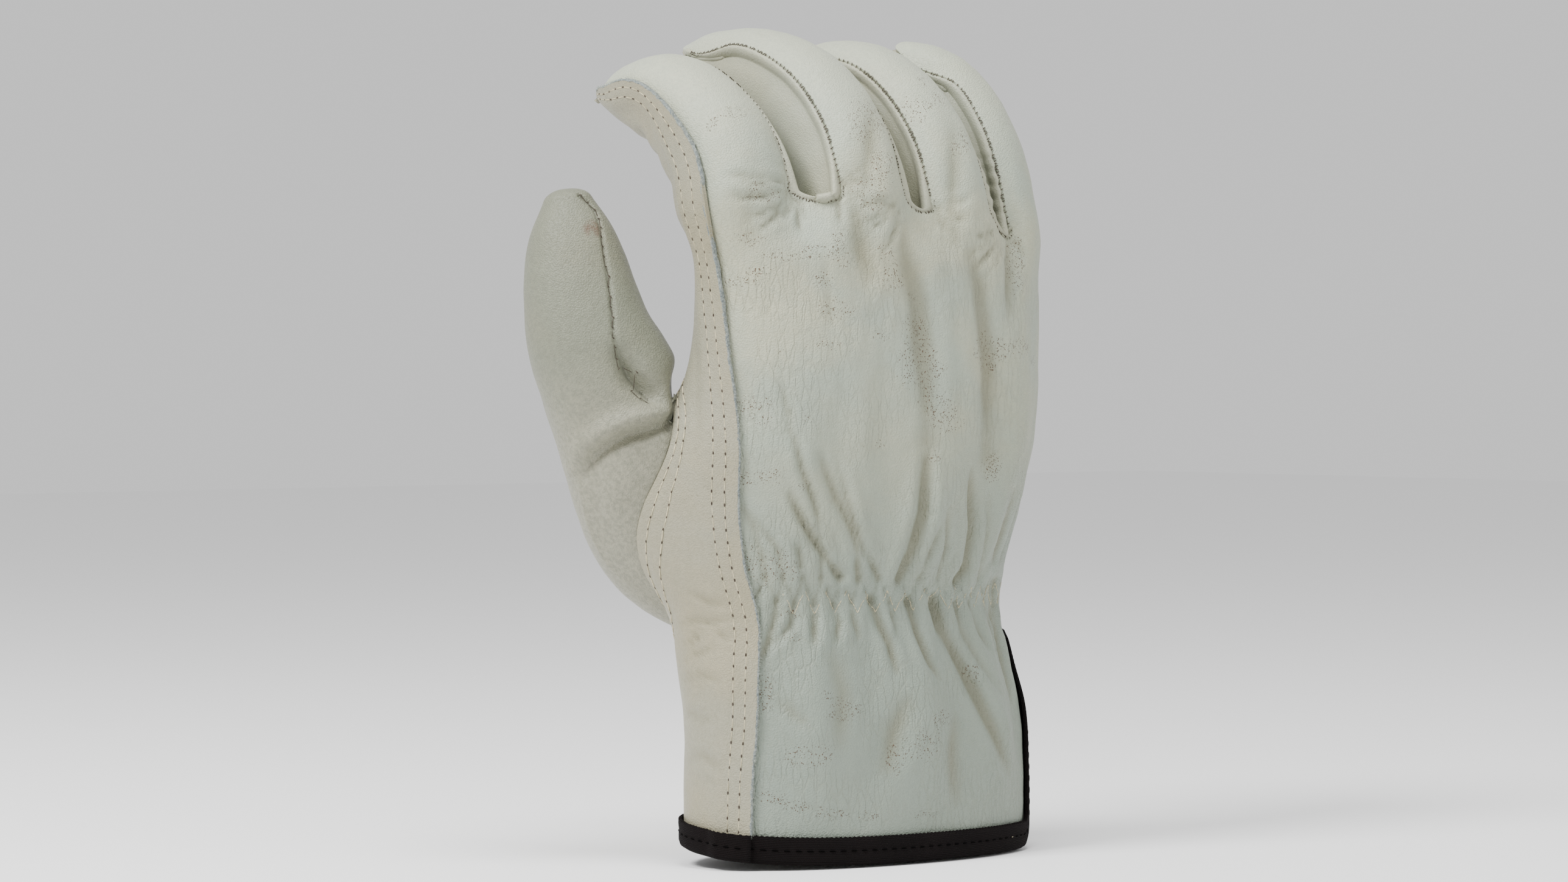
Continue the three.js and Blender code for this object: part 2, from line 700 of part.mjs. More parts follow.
function thumbPoint(run, angle, inset) {
  const place = (at) => {
    const s = rowAt(thumb, 'z', at, thumbColumns);
    return new THREE.Vector3(s.x, s.y, s.z);
  };
  const s = rowAt(thumb, 'z', run, thumbColumns);
  const end = thumb[thumb.length - 1].z;
  const ahead = place(Math.min(end, run + 1)).sub(place(run - 1)).normalize();
  const side = new THREE.Vector3(Math.cos(thumbTurn * rad), -Math.sin(thumbTurn * rad), 0);
  side.addScaledVector(ahead, -side.dot(ahead)).normalize();
  const back = new THREE.Vector3().crossVectors(side, ahead);
  const point = new THREE.Vector3(s.x, s.y, s.z);
  point.addScaledVector(side, (s.across - inset) * superCos(angle, thumbSquare));
  point.addScaledVector(back, (s.through - inset) * superSin(angle, thumbSquare));
  return { point, ahead };
}

function thumbPiece() {
  const wall = new Wall(true);
  const side = 2 * hole.half;
  const ring = [];
  for (let i = 0; i < side; i += 1) ring.push([-hole.half + i, -hole.half]);
  for (let i = 0; i < side; i += 1) ring.push([hole.half, -hole.half + i]);
  for (let i = 0; i < side; i += 1) ring.push([hole.half - i, hole.half]);
  for (let i = 0; i < side; i += 1) ring.push([-hole.half, hole.half - i]);
  const base = (cell, size, inset) => {
    const spot = palmSpot(hole.column + cell[0] * size, hole.row + cell[1] * size);
    return handPoint(spot.z, spot.angle, -inset);
  };
  const end = thumb[thumb.length - 1];
  const columns = ring.map((cell) => {
    const angle = Math.atan2(-cell[0], cell[1]) / rad;
    const faces = [0, hide].map((inset) => {
      const start = base(cell, flange.near, inset);
      const first = thumbPoint(thumb[0].z, angle, inset);
      const chord = start.distanceTo(first.point);
      const outward = base(cell, flange.near, 0).sub(base(cell, flange.near, 1));
      const top = (1 + cell[1] / hole.half) / 2;
      const [out, aside, up] = ['out', 'aside', 'up']
        .map((part) => mix(thumbLift[0][part], thumbLift[1][part], top));
      const leave = outward.multiplyScalar(out).add(new THREE.Vector3(
        -Math.cos(thumbTurn * rad) * aside, Math.sin(thumbTurn * rad) * aside, up));
      const points = [flange.far, flange.near]
        .map((size) => base(cell, size, flange.sunk + inset));
      for (const t of thumbRise) {
        const h = [2 * t ** 3 - 3 * t ** 2 + 1, t ** 3 - 2 * t ** 2 + t,
          -2 * t ** 3 + 3 * t ** 2, t ** 3 - t ** 2];
        points.push(start.clone().multiplyScalar(h[0])
          .addScaledVector(leave, h[1] * chord)
          .addScaledVector(first.point, h[2])
          .addScaledVector(first.ahead, h[3] * chord));
      }
      for (const station of thumb) points.push(thumbPoint(station.z, angle, inset).point);
      points.push(...thumbDome.map(([share, rise]) => new THREE.Vector3(end.x, end.y, end.z)
        .lerp(thumbPoint(end.z, angle, inset).point, share)
        .addScaledVector(thumbPoint(end.z, angle, inset).ahead, rise * (thumbTip - inset))));
      return points;
    });
    return faces[0].map((point, i) => wall.point(point, faces[1][i]));
  });
  const rows = columns[0].map((_, row) => columns.map((column) => column[row]));
  rows.forEach((row) => row.push(row[0]));
  for (let i = 0; i + 1 < rows.length; i += 1) wall.rows(rows[i], rows[i + 1]);
  const tip = thumbPoint(end.z, 0, 0);
  const apex = wall.point(...[0, hide].map((inset) => new THREE.Vector3(end.x, end.y, end.z)
    .addScaledVector(tip.ahead, thumbTip - inset)));
  const last = rows[rows.length - 1];
  for (let i = 0; i + 1 < last.length; i += 1) wall.face(last[i], last[i + 1], apex);
  return wall.solid();
}

// How far the binding's faces reach into the panels, from its open edges to its fold
const bindingReach = [tapeWidth - hemRise, 3, 0.2];

// Places across the binding at one spot of an edge: on the leather's outer face, with the way
// out of it. surface(reach, depth) follows the panel inwards from the edge.
function bindingPlaces(surface, lift) {
  const places = [...bindingReach, -seat, -hemRise].map((reach) => {
    const inside = Math.max(0, reach);
    const point = surface(inside, 0);
    const out = point.clone().sub(surface(inside, 1)).normalize();
    if (reach < 0) {
      const inward = surface(1, 0).sub(point).normalize();
      point.addScaledVector(inward, reach);
    }
    return { point, out };
  });
  return { places, lift };
}

// Spots along a panel's cuff edge, from the lapped seam to the top of its vent side
function edgeSpots(total, edge, columns, lifts) {
  const spot = (fromVent, height, lift) => {
    const [d, h] = rounded(fromVent, height);
    let into = [0, 1];
    if (d < ventCorner && h < ventCorner) into = [ventCorner - d, ventCorner - h];
    else if (h > 0) into = [1, 0];
    const size = Math.hypot(...into);
    return bindingPlaces((reach, depth) => cuffPoint(total, edge,
      d + into[0] / size * reach, h + into[1] / size * reach, depth), lift);
  };
  const hem = columns.map((column, i) => spot(total - column, 0, lifts[i] ?? 0));
  const side = handRows.filter((z) => z > hemRise && z < ventTop)
    .map((z) => spot(0, z - hemRise, 0));
  return [...hem, ...side];
}

// Spots over the top of the vent: turn from the seam, drop below the top, and the way in
const ventArch = named(['turn', 'drop', 'side', 'up'], [
  [-3, 1.4, -0.7, 0.7],
  [0, 0, 0, 1],
  [3, 1.4, 0.7, 0.7],
]);
const turnPerMm = 2.3;          // degrees round the hand's narrow side in a millimetre

function binding() {
  const columns = (knots, last) => count(0, last).map((column) => knotted(knots, column));
  const backEdge = edgeSpots(knotted(backLow, 33), backVent, columns(backLow, 33), []);
  const palmEdge = edgeSpots(knotted(palmLow, 30), palmVent, columns(palmLow, 30),
    [lapRise, lapRise]);
  const seamAngle = (backVent(ventTop + tapeWidth) + palmVent(ventTop + tapeWidth) + 360) / 2;
  const top = ventArch.map((spot) => bindingPlaces((reach, depth) => handPoint(
    ventTop - spot.drop + spot.up * reach,
    seamAngle + spot.turn + spot.side * reach * turnPerMm, -depth), 0));
  const loop = [...backEdge.slice(1), ...top, ...palmEdge.reverse()];
  const outer = (spot, i, height) => spot.places[i].point.clone()
    .addScaledVector(spot.places[i].out, height);
  const section = (spot) => {
    const above = spot.lift + tapeSeat;
    const below = -hide - tapeSeat;
    return [
      outer(spot, 0, above + tapeThick), outer(spot, 2, above + tapeThick),
      outer(spot, 4, (above + below) / 2), outer(spot, 2, below - tapeThick),
      outer(spot, 0, below - tapeThick), outer(spot, 0, below),
      outer(spot, 1, below), outer(spot, 3, below),
      outer(spot, 3, above), outer(spot, 1, above), outer(spot, 0, above),
    ];
  };
  const rings = loop.map(section);
  const size = rings[0].length;
  const faces = [];
  rings.forEach((_, r) => {
    const next = (r + 1) % rings.length;
    for (let i = 0; i < size; i += 1) {
      const j = (i + 1) % size;
      const [a, b, c, d] = [r * size + i, r * size + j, next * size + j, next * size + i];
      faces.push([a, b, c], [a, c, d]);
    }
  });
  return closed(rings.flat(), faces);
}

const finishes = {
  hide: { color: '#c9ccbf', roughness: 0.62, metalness: 0 },
  palmHide: { color: '#c8c6b8', roughness: 0.66, metalness: 0 },
  tape: { color: '#2a2022', roughness: 0.9, metalness: 0 },
};

function piece(name, geometry, finish) {
  const mesh = new THREE.Mesh(geometry, new THREE.MeshStandardMaterial(finishes[finish]));
  mesh.name = name;
  return mesh;
}

const glove = new THREE.Group();
glove.add(
  piece('back_panel', backPanel(), 'hide'),
  piece('palm_panel', palmPanel(), 'palmHide'),
  piece('thumb', thumbPiece(), 'palmHide'),
  piece('fourchette_index_middle', sideStrip(0), 'hide'),
  piece('fourchette_middle_ring', sideStrip(1), 'hide'),
  piece('fourchette_ring_little', sideStrip(2), 'hide'),
  piece('cuff_binding', binding(), 'tape'),
);

export default glove;
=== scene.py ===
import json
import math
import random

import bmesh
import bpy
from mathutils import Matrix, Vector, noise
from mathutils.bvhtree import BVHTree
from mathutils.kdtree import KDTree

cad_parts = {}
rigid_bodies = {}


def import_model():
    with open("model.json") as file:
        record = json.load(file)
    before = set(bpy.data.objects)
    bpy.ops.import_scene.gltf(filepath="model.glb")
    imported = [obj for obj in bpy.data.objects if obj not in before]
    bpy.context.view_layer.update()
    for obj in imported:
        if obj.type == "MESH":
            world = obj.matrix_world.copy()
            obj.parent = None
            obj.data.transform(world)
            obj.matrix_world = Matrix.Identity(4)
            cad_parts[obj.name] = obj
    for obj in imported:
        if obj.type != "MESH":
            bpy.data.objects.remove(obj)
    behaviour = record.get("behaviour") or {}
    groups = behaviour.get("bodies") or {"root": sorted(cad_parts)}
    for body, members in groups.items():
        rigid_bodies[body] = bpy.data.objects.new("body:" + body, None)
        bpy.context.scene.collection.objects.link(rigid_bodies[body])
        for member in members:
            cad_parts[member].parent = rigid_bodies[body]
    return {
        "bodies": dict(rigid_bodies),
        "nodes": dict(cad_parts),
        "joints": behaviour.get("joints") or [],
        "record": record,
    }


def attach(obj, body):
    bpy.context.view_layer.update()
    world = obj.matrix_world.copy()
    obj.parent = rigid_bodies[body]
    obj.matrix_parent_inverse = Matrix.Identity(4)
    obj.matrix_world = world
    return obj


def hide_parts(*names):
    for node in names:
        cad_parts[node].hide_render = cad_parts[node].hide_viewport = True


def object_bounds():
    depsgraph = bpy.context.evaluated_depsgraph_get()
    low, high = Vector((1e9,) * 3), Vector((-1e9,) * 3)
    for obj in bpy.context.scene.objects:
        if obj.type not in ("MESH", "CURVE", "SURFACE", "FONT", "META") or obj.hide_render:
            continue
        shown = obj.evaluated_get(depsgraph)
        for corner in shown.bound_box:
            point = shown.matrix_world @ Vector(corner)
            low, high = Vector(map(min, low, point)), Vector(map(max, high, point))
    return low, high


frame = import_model()
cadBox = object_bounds()
random.seed(17)
noise.seed_set(17)
mm = 0.001
deg = math.pi / 180
print("frame loaded")

# Camera, floor and light

photoView = {"azimuth": -40, "elevation": 1, "distance": 1.3,
             "target": (-0.01394, 0.0117, 0.1054), "lens": 117}


def viewBack(azimuth, elevation):
    a, e = azimuth * deg, elevation * deg
    return Vector((math.sin(a) * math.cos(e), -math.cos(a) * math.cos(e), math.sin(e)))


def addObject(name, data):
    made = bpy.data.objects.new(name, data)
    bpy.context.collection.objects.link(made)
    return made


def lookAt(thing, target, azimuth, elevation, distance):
    back = viewBack(azimuth, elevation)
    thing.location = Vector(target) + back * distance
    thing.rotation_euler = (-back).to_track_quat("-Z", "Y").to_euler()


def setCamera(view):
    data = bpy.data.cameras.new("photoCamera")
    data.lens = view["lens"]
    data.clip_start = 0.05
    camera = addObject("photoCamera", data)
    lookAt(camera, view["target"], view["azimuth"], view["elevation"], view["distance"])
    bpy.context.scene.camera = camera


studio = {"floorSize": 6, "floorDrop": 0.0005, "floorTone": (0.93, 0.93, 0.93, 1), "worldTone": (1, 1, 1, 1),
          "worldPower": 0.82, "lit": (0, 0, 0.11)}
# azimuth, elevation, distance, size and power of each soft light
softLights = [(-88, 46, 1.1, 0.4, 17.0), (20, 30, 1.4, 0.8, 1.0), (-30, 74, 1.2, 0.5, 11.0)]


def setStudio():
    world = bpy.data.worlds.new("paleRoom")
    bpy.context.scene.world = world
    world.use_nodes = True
    sky = world.node_tree.nodes["Background"]
    sky.inputs["Color"].default_value = studio["worldTone"]
    sky.inputs["Strength"].default_value = studio["worldPower"]
    for number, (azimuth, elevation, distance, size, power) in enumerate(softLights):
        data = bpy.data.lights.new(f"softLight{number}", "AREA")
        data.shape = "DISK"
        data.size = size
        data.energy = power
        lookAt(addObject(f"softLight{number}", data), studio["lit"], azimuth, elevation, distance)
    bm = bmesh.new()
    bmesh.ops.create_grid(bm, x_segments=1, y_segments=1, size=studio["floorSize"] / 2)
    bmesh.ops.translate(bm, verts=bm.verts, vec=(0, 0, cadBox[0][2] - studio["floorDrop"]))
    mesh = bpy.data.meshes.new("floor")
    bm.to_mesh(mesh)
    bm.free()
    floor = addObject("floor", mesh)
    paint = bpy.data.materials.new("paleFloor")
    paint.use_nodes = True
    shader = paint.node_tree.nodes["Principled BSDF"]
    shader.inputs["Base Color"].default_value = studio["floorTone"]
    shader.inputs["Roughness"].default_value = 0.9
    mesh.materials.append(paint)


setCamera(photoView)
setStudio()
print("camera and light set")

# Form of the filled glove, in millimetres, as the frame has it

hide = 1.2          # thickness of the leather
seat = 0.3          # air between two leathers
recess = 2.4        # how deep the strips lie between the fingers
ventTop = 51
ventCorner = 10
hemRise = 1.2       # the leather's edge over the tape's
fingerSquare = 2.5
wristHeight = 66    # where the elastic lies
lapRise = hide + seat


def named(columns, rows):
    return [dict(zip(columns, row)) for row in rows]


# Cross-sections of the hand, from the hem up
hand = named(("z", "x", "y", "half", "back", "palm", "square", "bow", "lap", "thenar"), [
    (0, 0.6, 0, 51.8, 26, 26, 2.15, 0, 28, 0),
    (20, 0.4, 0, 51.8, 26, 26, 2.15, 0, 29, 0),
    (36, -0.2, 0.2, 51.5, 25.5, 25.5, 2.15, 0, 32, 0),
    (49, -2.2, 1.0, 50.2, 24.5, 24.5, 2.15, 0, 35, 1),
    (61, -2.4, 1.3, 47.8, 23.5, 24.5, 2.15, 0, 34, 4.5),
    (75, -1.2, 1.0, 48.8, 24.5, 25, 2.2, 1, 28, 12),
    (90, 1.4, 0.0, 51.5, 25, 25, 2.25, 2, 25, 15),
    (104, 3.2, -1.0, 53.2, 24.5, 24, 2.3, 2, 24, 12),
    (114, 4.0, -1.8, 53.8, 24, 22, 2.3, 3, 22, 6),
    (126, 4.0, -2.6, 54, 23, 20, 2.3, 3, 18, 1),
    (142, 4.2, -3.6, 54.2, 21.5, 17, 2.35, 4, 14, 0),
    (156, 3.4, -4.2, 54.6, 20.6, 14, 2.4, 4, 10, 0),
    (170, 3.2, -4.2, 54.4, 20.0, 12, 2.4, 4, 6, 0),
])
thenar = {"angle": -28, "spread": 32, "x": -0.95, "y": 0.25}

# Finger stations from the knuckle to the tip
fingerColumns = ("x", "y", "z", "half", "deep")
fingers = {
    "index": {"yaw": 3, "radial": 166, "ulnar": 56, "stations": named(fingerColumns, [
        (-41.2, -0.8, 165, 12.8, 14.2), (-41.2, 2.6, 175, 12.8, 14.2),
        (-41.4, 10.5, 184, 12.8, 13.8), (-41.6, 21.0, 191, 12.6, 12.6),
        (-41.6, 31.5, 193.2, 11.8, 10.2), (-41.8, 39.5, 193.6, 9.6, 6.4),
        (-42.0, 44.5, 193.2, 6.0, 2.3)])},
    "middle": {"yaw": 4, "radial": 142, "ulnar": 40, "stations": named(fingerColumns, [
        (-10.5, -8.5, 165, 12.6, 14.8), (-10.3, -4.9, 178, 12.6, 14.2),
        (-10.6, 4.4, 190, 12.6, 13.4), (-11.2, 16.5, 197, 12.2, 12.6),
        (-11.8, 28.5, 201.0, 11.6, 11.0), (-12.6, 40.5, 204.5, 9.6, 7.0),
        (-13.2, 47.5, 206.5, 6.0, 2.1)])},
    "ring": {"yaw": 10, "radial": 146, "ulnar": 40, "stations": named(fingerColumns, [
        (19.2, -8.5, 162, 12.4, 14.4), (19.2, -4.5, 176, 12.4, 13.6),
        (18.2, 3.6, 188, 12.2, 12.8), (16.4, 13.5, 195.8, 11.8, 12.0),
        (14.0, 27.0, 198.0, 11.2, 10.8), (12.2, 38.5, 195.5, 9.2, 6.8),
        (11.0, 46.0, 192.5, 5.8, 2.1)])},
    "little": {"yaw": 24, "radial": 138, "ulnar": -14, "stations": named(fingerColumns, [
        (44.4, -2.8, 156, 11.0, 13.0), (44.6, -0.2, 169, 11.0, 12.4),
        (44.4, 4.2, 182, 10.8, 11.6), (42.4, 9.8, 192.5, 10.4, 10.6),
        (39.4, 15.0, 200, 9.6, 8.8), (36.6, 19.6, 205, 7.8, 5.6),
        (34.8, 22.6, 208, 4.8, 2.1)])},
}
fingerNames = list(fingers)
frontSeam = 46

# Thumb stations above the crotch
thumb = named(("x", "y", "z", "across", "through"), [
    (-61.0, 24.3, 121, 17.7, 15.6), (-65.0, 26.0, 131, 16.2, 14.6),
    (-66.8, 27.5, 141, 14.6, 13.2), (-67.8, 29.0, 151, 12.8, 11.4),
    (-68.5, 29.7, 159, 10.4, 9.2), (-69.2, 30.2, 166, 6.4, 5.6)])
thumbTip = 3.2
thumbSquare = 2.2
thumbTurn = 33

crotches = [{"back": 3.2, "palm": 4.0}, {"back": 3.2, "palm": 4.0}, {"back": 3.0, "palm": 3.6}]

# Long folds of the body
folds = named(("angle", "from", "to", "rise", "spread"), [
    (62, 66, 128, -1.6, 7), (78, 66, 150, -1.8, 6), (95, 66, 112, 1.4, 6),
    (112, 66, 140, -1.8, 6), (128, 70, 150, 1.6, 8), (146, 66, 120, -1.4, 6),
    (55, 8, 62, 1.5, 8), (76, 14, 64, -1.8, 6), (92, 10, 64, 1.6, 7),
    (108, 8, 64, -1.8, 6), (126, 12, 64, 1.6, 7), (142, 18, 64, -1.5, 6),
    (-70, 60, 120, -1.5, 9), (-105, 66, 130, 1.3, 9), (-140, 60, 110, -1.3, 8)])
hemHigh = {"angle": -40, "spread": 62, "rise": 4.6, "reach": 60}
shirr = {"dip": 1.5, "band": 5, "ripple": 0.8, "reach": 13, "pitch": 12, "from": 46, "to": 154}


def mix(a, b, t):
    return a + (b - a) * t


def ease(t):
    c = min(1, max(0, t))
    return c * c * (3 - 2 * c)


def bends(t):
    # weights of the start, its slope, the end and its slope on a smooth curve
    return (2 * t ** 3 - 3 * t ** 2 + 1, t ** 3 - 2 * t ** 2 + t, -2 * t ** 3 + 3 * t ** 2, t ** 3 - t ** 2)


def placeOf(row):
    return Vector((row["x"], row["y"], row["z"]))


def rowAt(rows, key, at):
    # smooth values of all columns of a table at a key
    last = len(rows) - 1
    if at <= rows[0][key]:
        return rows[0]
    if at >= rows[last][key]:
        return rows[last]
    i = 0
    while rows[i + 1][key] < at:
        i += 1
    a, b = rows[i], rows[i + 1]
    before, after = rows[max(0, i - 1)], rows[min(last, i + 2)]
    step = b[key] - a[key]
    t = (at - a[key]) / step
    down, up = step / (b[key] - before[key]), step / (after[key] - a[key])
    h0, h1, h2, h3 = bends(t)
    return {n: h0 * a[n] + h1 * (b[n] - before[n]) * down + h2 * b[n] + h3 * (after[n] - a[n]) * up
            for n in a}


for spec in fingers.values():
    run = 0
    for i, station in enumerate(spec["stations"]):
        if i:
            last = spec["stations"][i - 1]
            run += math.dist([station[k] for k in "xyz"], [last[k] for k in "xyz"])
        station["run"] = run
    for station in spec["stations"]:
        station["run"] /= run

sections = {}


def sectionAt(z):
    key = round(z, 4)
    if key not in sections:
        sections[key] = rowAt(hand, "z", z)
    return sections[key]


def squared(value, square):
    return math.copysign(abs(value) ** (2 / square), value)


def superCos(angle, square):
    return squared(math.cos(angle * deg), square)


def superSin(angle, square):
    return squared(math.sin(angle * deg), square)


def turnBetween(a, b):
    return ((a - b + 540) % 360) - 180


def foldRise(z, angle):
    rise = 0
    for fold in folds:
        along = (z - fold["from"]) / (fold["to"] - fold["from"])
        if 0 < along < 1:
            off = turnBetween(angle, fold["angle"]) / fold["spread"]
            rise += fold["rise"] * math.sin(math.pi * along) * math.exp(-off * off)
    pitch = shirr["pitch"]
    gathered = ease((angle - shirr["from"]) / pitch) * ease((shirr["to"] - angle) / pitch)
    near = math.exp(-(((z - wristHeight) / shirr["reach"]) ** 2))
    tight = math.exp(-(((z - wristHeight) / shirr["band"]) ** 2))
    rise -= gathered * shirr["dip"] * tight
    return rise + gathered * shirr["ripple"] * near * math.cos(2 * math.pi * angle / pitch)


def hemSlope(z, angle):
    off = turnBetween(angle, hemHigh["angle"]) / hemHigh["spread"]
    return hemHigh["rise"] * math.exp(-off * off) * (1 - ease(z / hemHigh["reach"]))


def plainRound(s, a):
    across = -superCos(a, s["square"])
    off = turnBetween(a, thenar["angle"]) / thenar["spread"]
    full = s["thenar"] * math.exp(-off * off)
    depth = s["back"] if 0 < a < 180 else s["palm"]
    return Vector((s["x"] + s["half"] * across + thenar["x"] * full,
                   s["y"] - depth * superSin(a, s["square"]) + s["bow"] * across * across
                   + thenar["y"] * full))


def handPoint(z, angle, out=0):
    # angle 0 at the thumb side, 90 on the back, 180 at the little finger
    s = sectionAt(z)
    here = plainRound(s, angle)
    along = (plainRound(s, angle + 0.5) - plainRound(s, angle - 0.5)).normalized()
    here += Vector((along.y, -along.x)) * (out + foldRise(z, angle))
    return Vector((here.x, here.y, z + hemSlope(z, angle)))


leastHalf = 0.4


def fingerFrame(spec, run):
    rows = spec["stations"]
    s = rowAt(rows, "run", run)
    far, near = rowAt(rows, "run", min(1, run + 0.01)), rowAt(rows, "run", max(0, run - 0.01))
    ahead = Vector([far[k] - near[k] for k in "xyz"]).normalized()
    side = Vector((math.cos(spec["yaw"] * deg), math.sin(spec["yaw"] * deg), 0))
    side = (side - ahead * side.dot(ahead)).normalized()
    return placeOf(s), side, side.cross(ahead), s["half"], s["deep"]


def fingerPoint(spec, run, angle, inset=0):
    # angle 0 on the little-finger side, 90 on the back, 180 on the thumb side
    centre, side, back, half, deep = fingerFrame(spec, run)
    return (centre + side * max(leastHalf, half - inset) * superCos(angle, fingerSquare)
            + back * max(leastHalf, deep - inset) * superSin(angle, fingerSquare))


def evenly(curve, start, end, fine=48):
    # turns a share of a curve's length into the curve's own value
    lengths = [0]
    last = curve(start)
    for i in range(1, fine + 1):
        here = curve(mix(start, end, i / fine))
        lengths.append(lengths[-1] + (here - last).length)
        last = here

    def valueAt(share):
        want = share * lengths[fine]
        i = 0
        while i < fine - 1 and lengths[i + 1] < want:
            i += 1
        t = (want - lengths[i]) / (lengths[i + 1] - lengths[i])
        return mix(start, end, (i + t) / fine)
    return valueAt


def between(a, b, c, d, t):
    # smooth way from b to c
    return 0.5 * (2 * b + (c - a) * t + (2 * a - 5 * b + 4 * c - d) * t * t
                  + (3 * b - a - 3 * c + d) * t ** 3)


def knotted(knots, at):
    # straight between the knots of a short table
    i = 0
    while i < len(knots) - 2 and knots[i + 1][0] < at:
        i += 1
    (a, low), (b, high) = knots[i], knots[i + 1]
    return mix(low, high, min(1, max(0, (at - a) / (b - a))))


# Rows of the net: heights on the hand, shares of the finger, and where columns lie
handRows = [hemRise, 8, 16.5, 27, 38, 48, 55, 62.5, 70, 77.5, 85, 93, 101, 109, 117,
            123, 130.5, 138, 146, 154]
lastRow = len(handRows) - 1
netRows = [i / 2 for i in range(2 * lastRow + 1)]
firstRun = 0.12
tipEdge = 6
backLow = [(0, 0), (33, 116)]
backHigh = [(0, 0), (5, 20), (9, 34), (14, 56), (17, 66), (23, 91), (25, 95), (33, 121)]
palmLow = [(0, 0), (1, 7), (2, 11), (5, 27), (9, 46), (13, 71), (30, 138)]
palmCrotch = [(0, 0), (1, 7), (2, 9.5), (5, 13), (9, 21), (13, 42), (30, 136)]
palmHigh = [(0, 0), (1, 7), (2, 11), (11, 45), (13, 52), (17, 70), (19, 76), (23, 94),
            (25, 100), (30, 124)]
backGirth, palmGirth = backLow[-1][1], palmLow[-1][1]
bendFrom = 123
backTop = [(0, 152), (11, 154), (20, 150), (33, 141)]
palmTop = [(0, 152), (6, 150), (15, 152), (21, 148), (30, 141)]
levelOff = (112, 154)
thumbLean = (72, 112)
ventBack = [(0, 155), (24, 159), (40, 165), (48, 168), (55, 172), (60, 172)]
ventPalm = [(0, 176), (24, 177), (40, 177), (48, 176.9), (55, 172.9), (60, 172.9)]
backOwners = {"index": (-1, 5), "middle": (9, 14), "ring": (17, 23), "little": (25, 33)}
palmOwners = {"index": (0, 11), "middle": (13, 17), "ring": (19, 23), "little": (25, 30)}
lapTurn = (30, 14)
hole = {"column": 9, "row": 10, "half": 4, "fade": 1.7}


def edgeAngle(level, run):
    return mix(level, tipEdge, ease((run - 0.66) / 0.2))


def backEdges(spec, run):
    radial = 180 - edgeAngle(180 - spec["radial"], run)
    return radial, (spec["ulnar"] if spec["ulnar"] < 0 else edgeAngle(spec["ulnar"], run))


def palmEdges(name, spec, run):
    radial = backEdges(spec, run)[0] if name == "index" else 180 + edgeAngle(frontSeam, run)
    ulnar = (357 + spec["ulnar"] - 9 * run) if name == "little" else 360 - edgeAngle(frontSeam, run)
    return radial, ulnar


def backVent(z):
    return knotted(ventBack, z)


def palmVent(z):
    return knotted(ventPalm, z) - 360


def lapAngle(z):
    return sectionAt(z)["lap"]


def shareOf(table, column):
    return knotted(table, column) / table[-1][1]


girths = {}


def girth(z, vent):
    key = (round(z, 4), vent is backVent)
    if key not in girths:
        girths[key] = evenly(lambda a: handPoint(z, a), lapAngle(z), vent(z))
    return girths[key]


def easedIn(span, z):
    return ease((z - span[0]) / (span[1] - span[0]))


def backAngle(z, column):
    if column < 0:
        return palmAngle(z, 1)
    return girth(z, backVent)(mix(shareOf(backLow, column), shareOf(backHigh, column), easedIn(levelOff, z)))


def palmAngle(z, column):
    low, crotch, top = [shareOf(table, column) for table in (palmLow, palmCrotch, palmHigh)]
    return girth(z, palmVent)(mix(mix(low, crotch, easedIn(thumbLean, z)), top, easedIn(levelOff, z)))


def rounded(fromVent, height):
    across, up = ventCorner - fromVent, ventCorner - height
    if across <= 0 or up <= 0:
        return fromVent, height
    shrink = max(across, up) / math.hypot(across, up)
    return ventCorner - across * shrink, ventCorner - up * shrink


def cuffPoint(total, vent, fromVent, height, out=0):
    z = height + hemRise
    return handPoint(z, girth(z, vent)((total - fromVent) / total), out)


def plainHeight(row):
    low = min(lastRow - 1, int(row))
    return mix(handRows[low], handRows[low + 1], row - low)


def rowHeight(top, column, row):
    z = plainHeight(row)
    if z < bendFrom:
        return z
    return mix(bendFrom, knotted(top, max(0, column)), (z - bendFrom) / (handRows[-1] - bendFrom))


def backHand(column, row):
    z = rowHeight(backTop, column, row)
    if column < 0:
        return handPoint(z, palmAngle(z, 1))
    if z < ventTop:
        fromVent, height = rounded(backGirth - knotted(backLow, column), z - hemRise)
        return cuffPoint(backGirth, backVent, fromVent, height)
    return handPoint(z, backAngle(z, column))


def palmSpot(column, row):
    across, up = column - hole["column"], row - hole["row"]
    reach = max(abs(across), abs(up)) / hole["half"]
    radius = math.hypot(across, up) / hole["half"]
    shrink = 1
    if 0 < reach < hole["fade"]:
        shrink = mix(1, reach / radius, ease((hole["fade"] - reach) / (hole["fade"] - 1)))
    z = plainHeight(hole["row"] + up * shrink)
    return z, palmAngle(z, hole["column"] + across * shrink)


def lapLift(column):
    return lapRise * (1 - ease(column - 1))


def palmHand(column, row):
    z = rowHeight(palmTop, column, row)
    lift = lapLift(column)
    if z < ventTop and row < hole["row"] - hole["half"] * hole["fade"]:
        fromVent, height = rounded(palmGirth - knotted(palmLow, column), z - hemRise)
        return cuffPoint(palmGirth, palmVent, fromVent, height, lift)
    if z >= bendFrom:
        return handPoint(z, palmAngle(z, column), lift)
    z, angle = palmSpot(column, row)
    return handPoint(z, angle, lift)


def fingerSpread(spec, run, start, end, fine=24):
    return evenly(lambda a: fingerPoint(spec, run, a), start, end, fine)


def backStrip(name, column, run):
    spec = fingers[name]
    radial, ulnar = backEdges(spec, run)
    if column < 0:
        return fingerPoint(spec, run, radial + mix(*lapTurn, run))
    first, last = max(0, backOwners[name][0]), backOwners[name][1]
    return fingerPoint(spec, run, fingerSpread(spec, run, radial, ulnar)((column - first) / (last - first)))


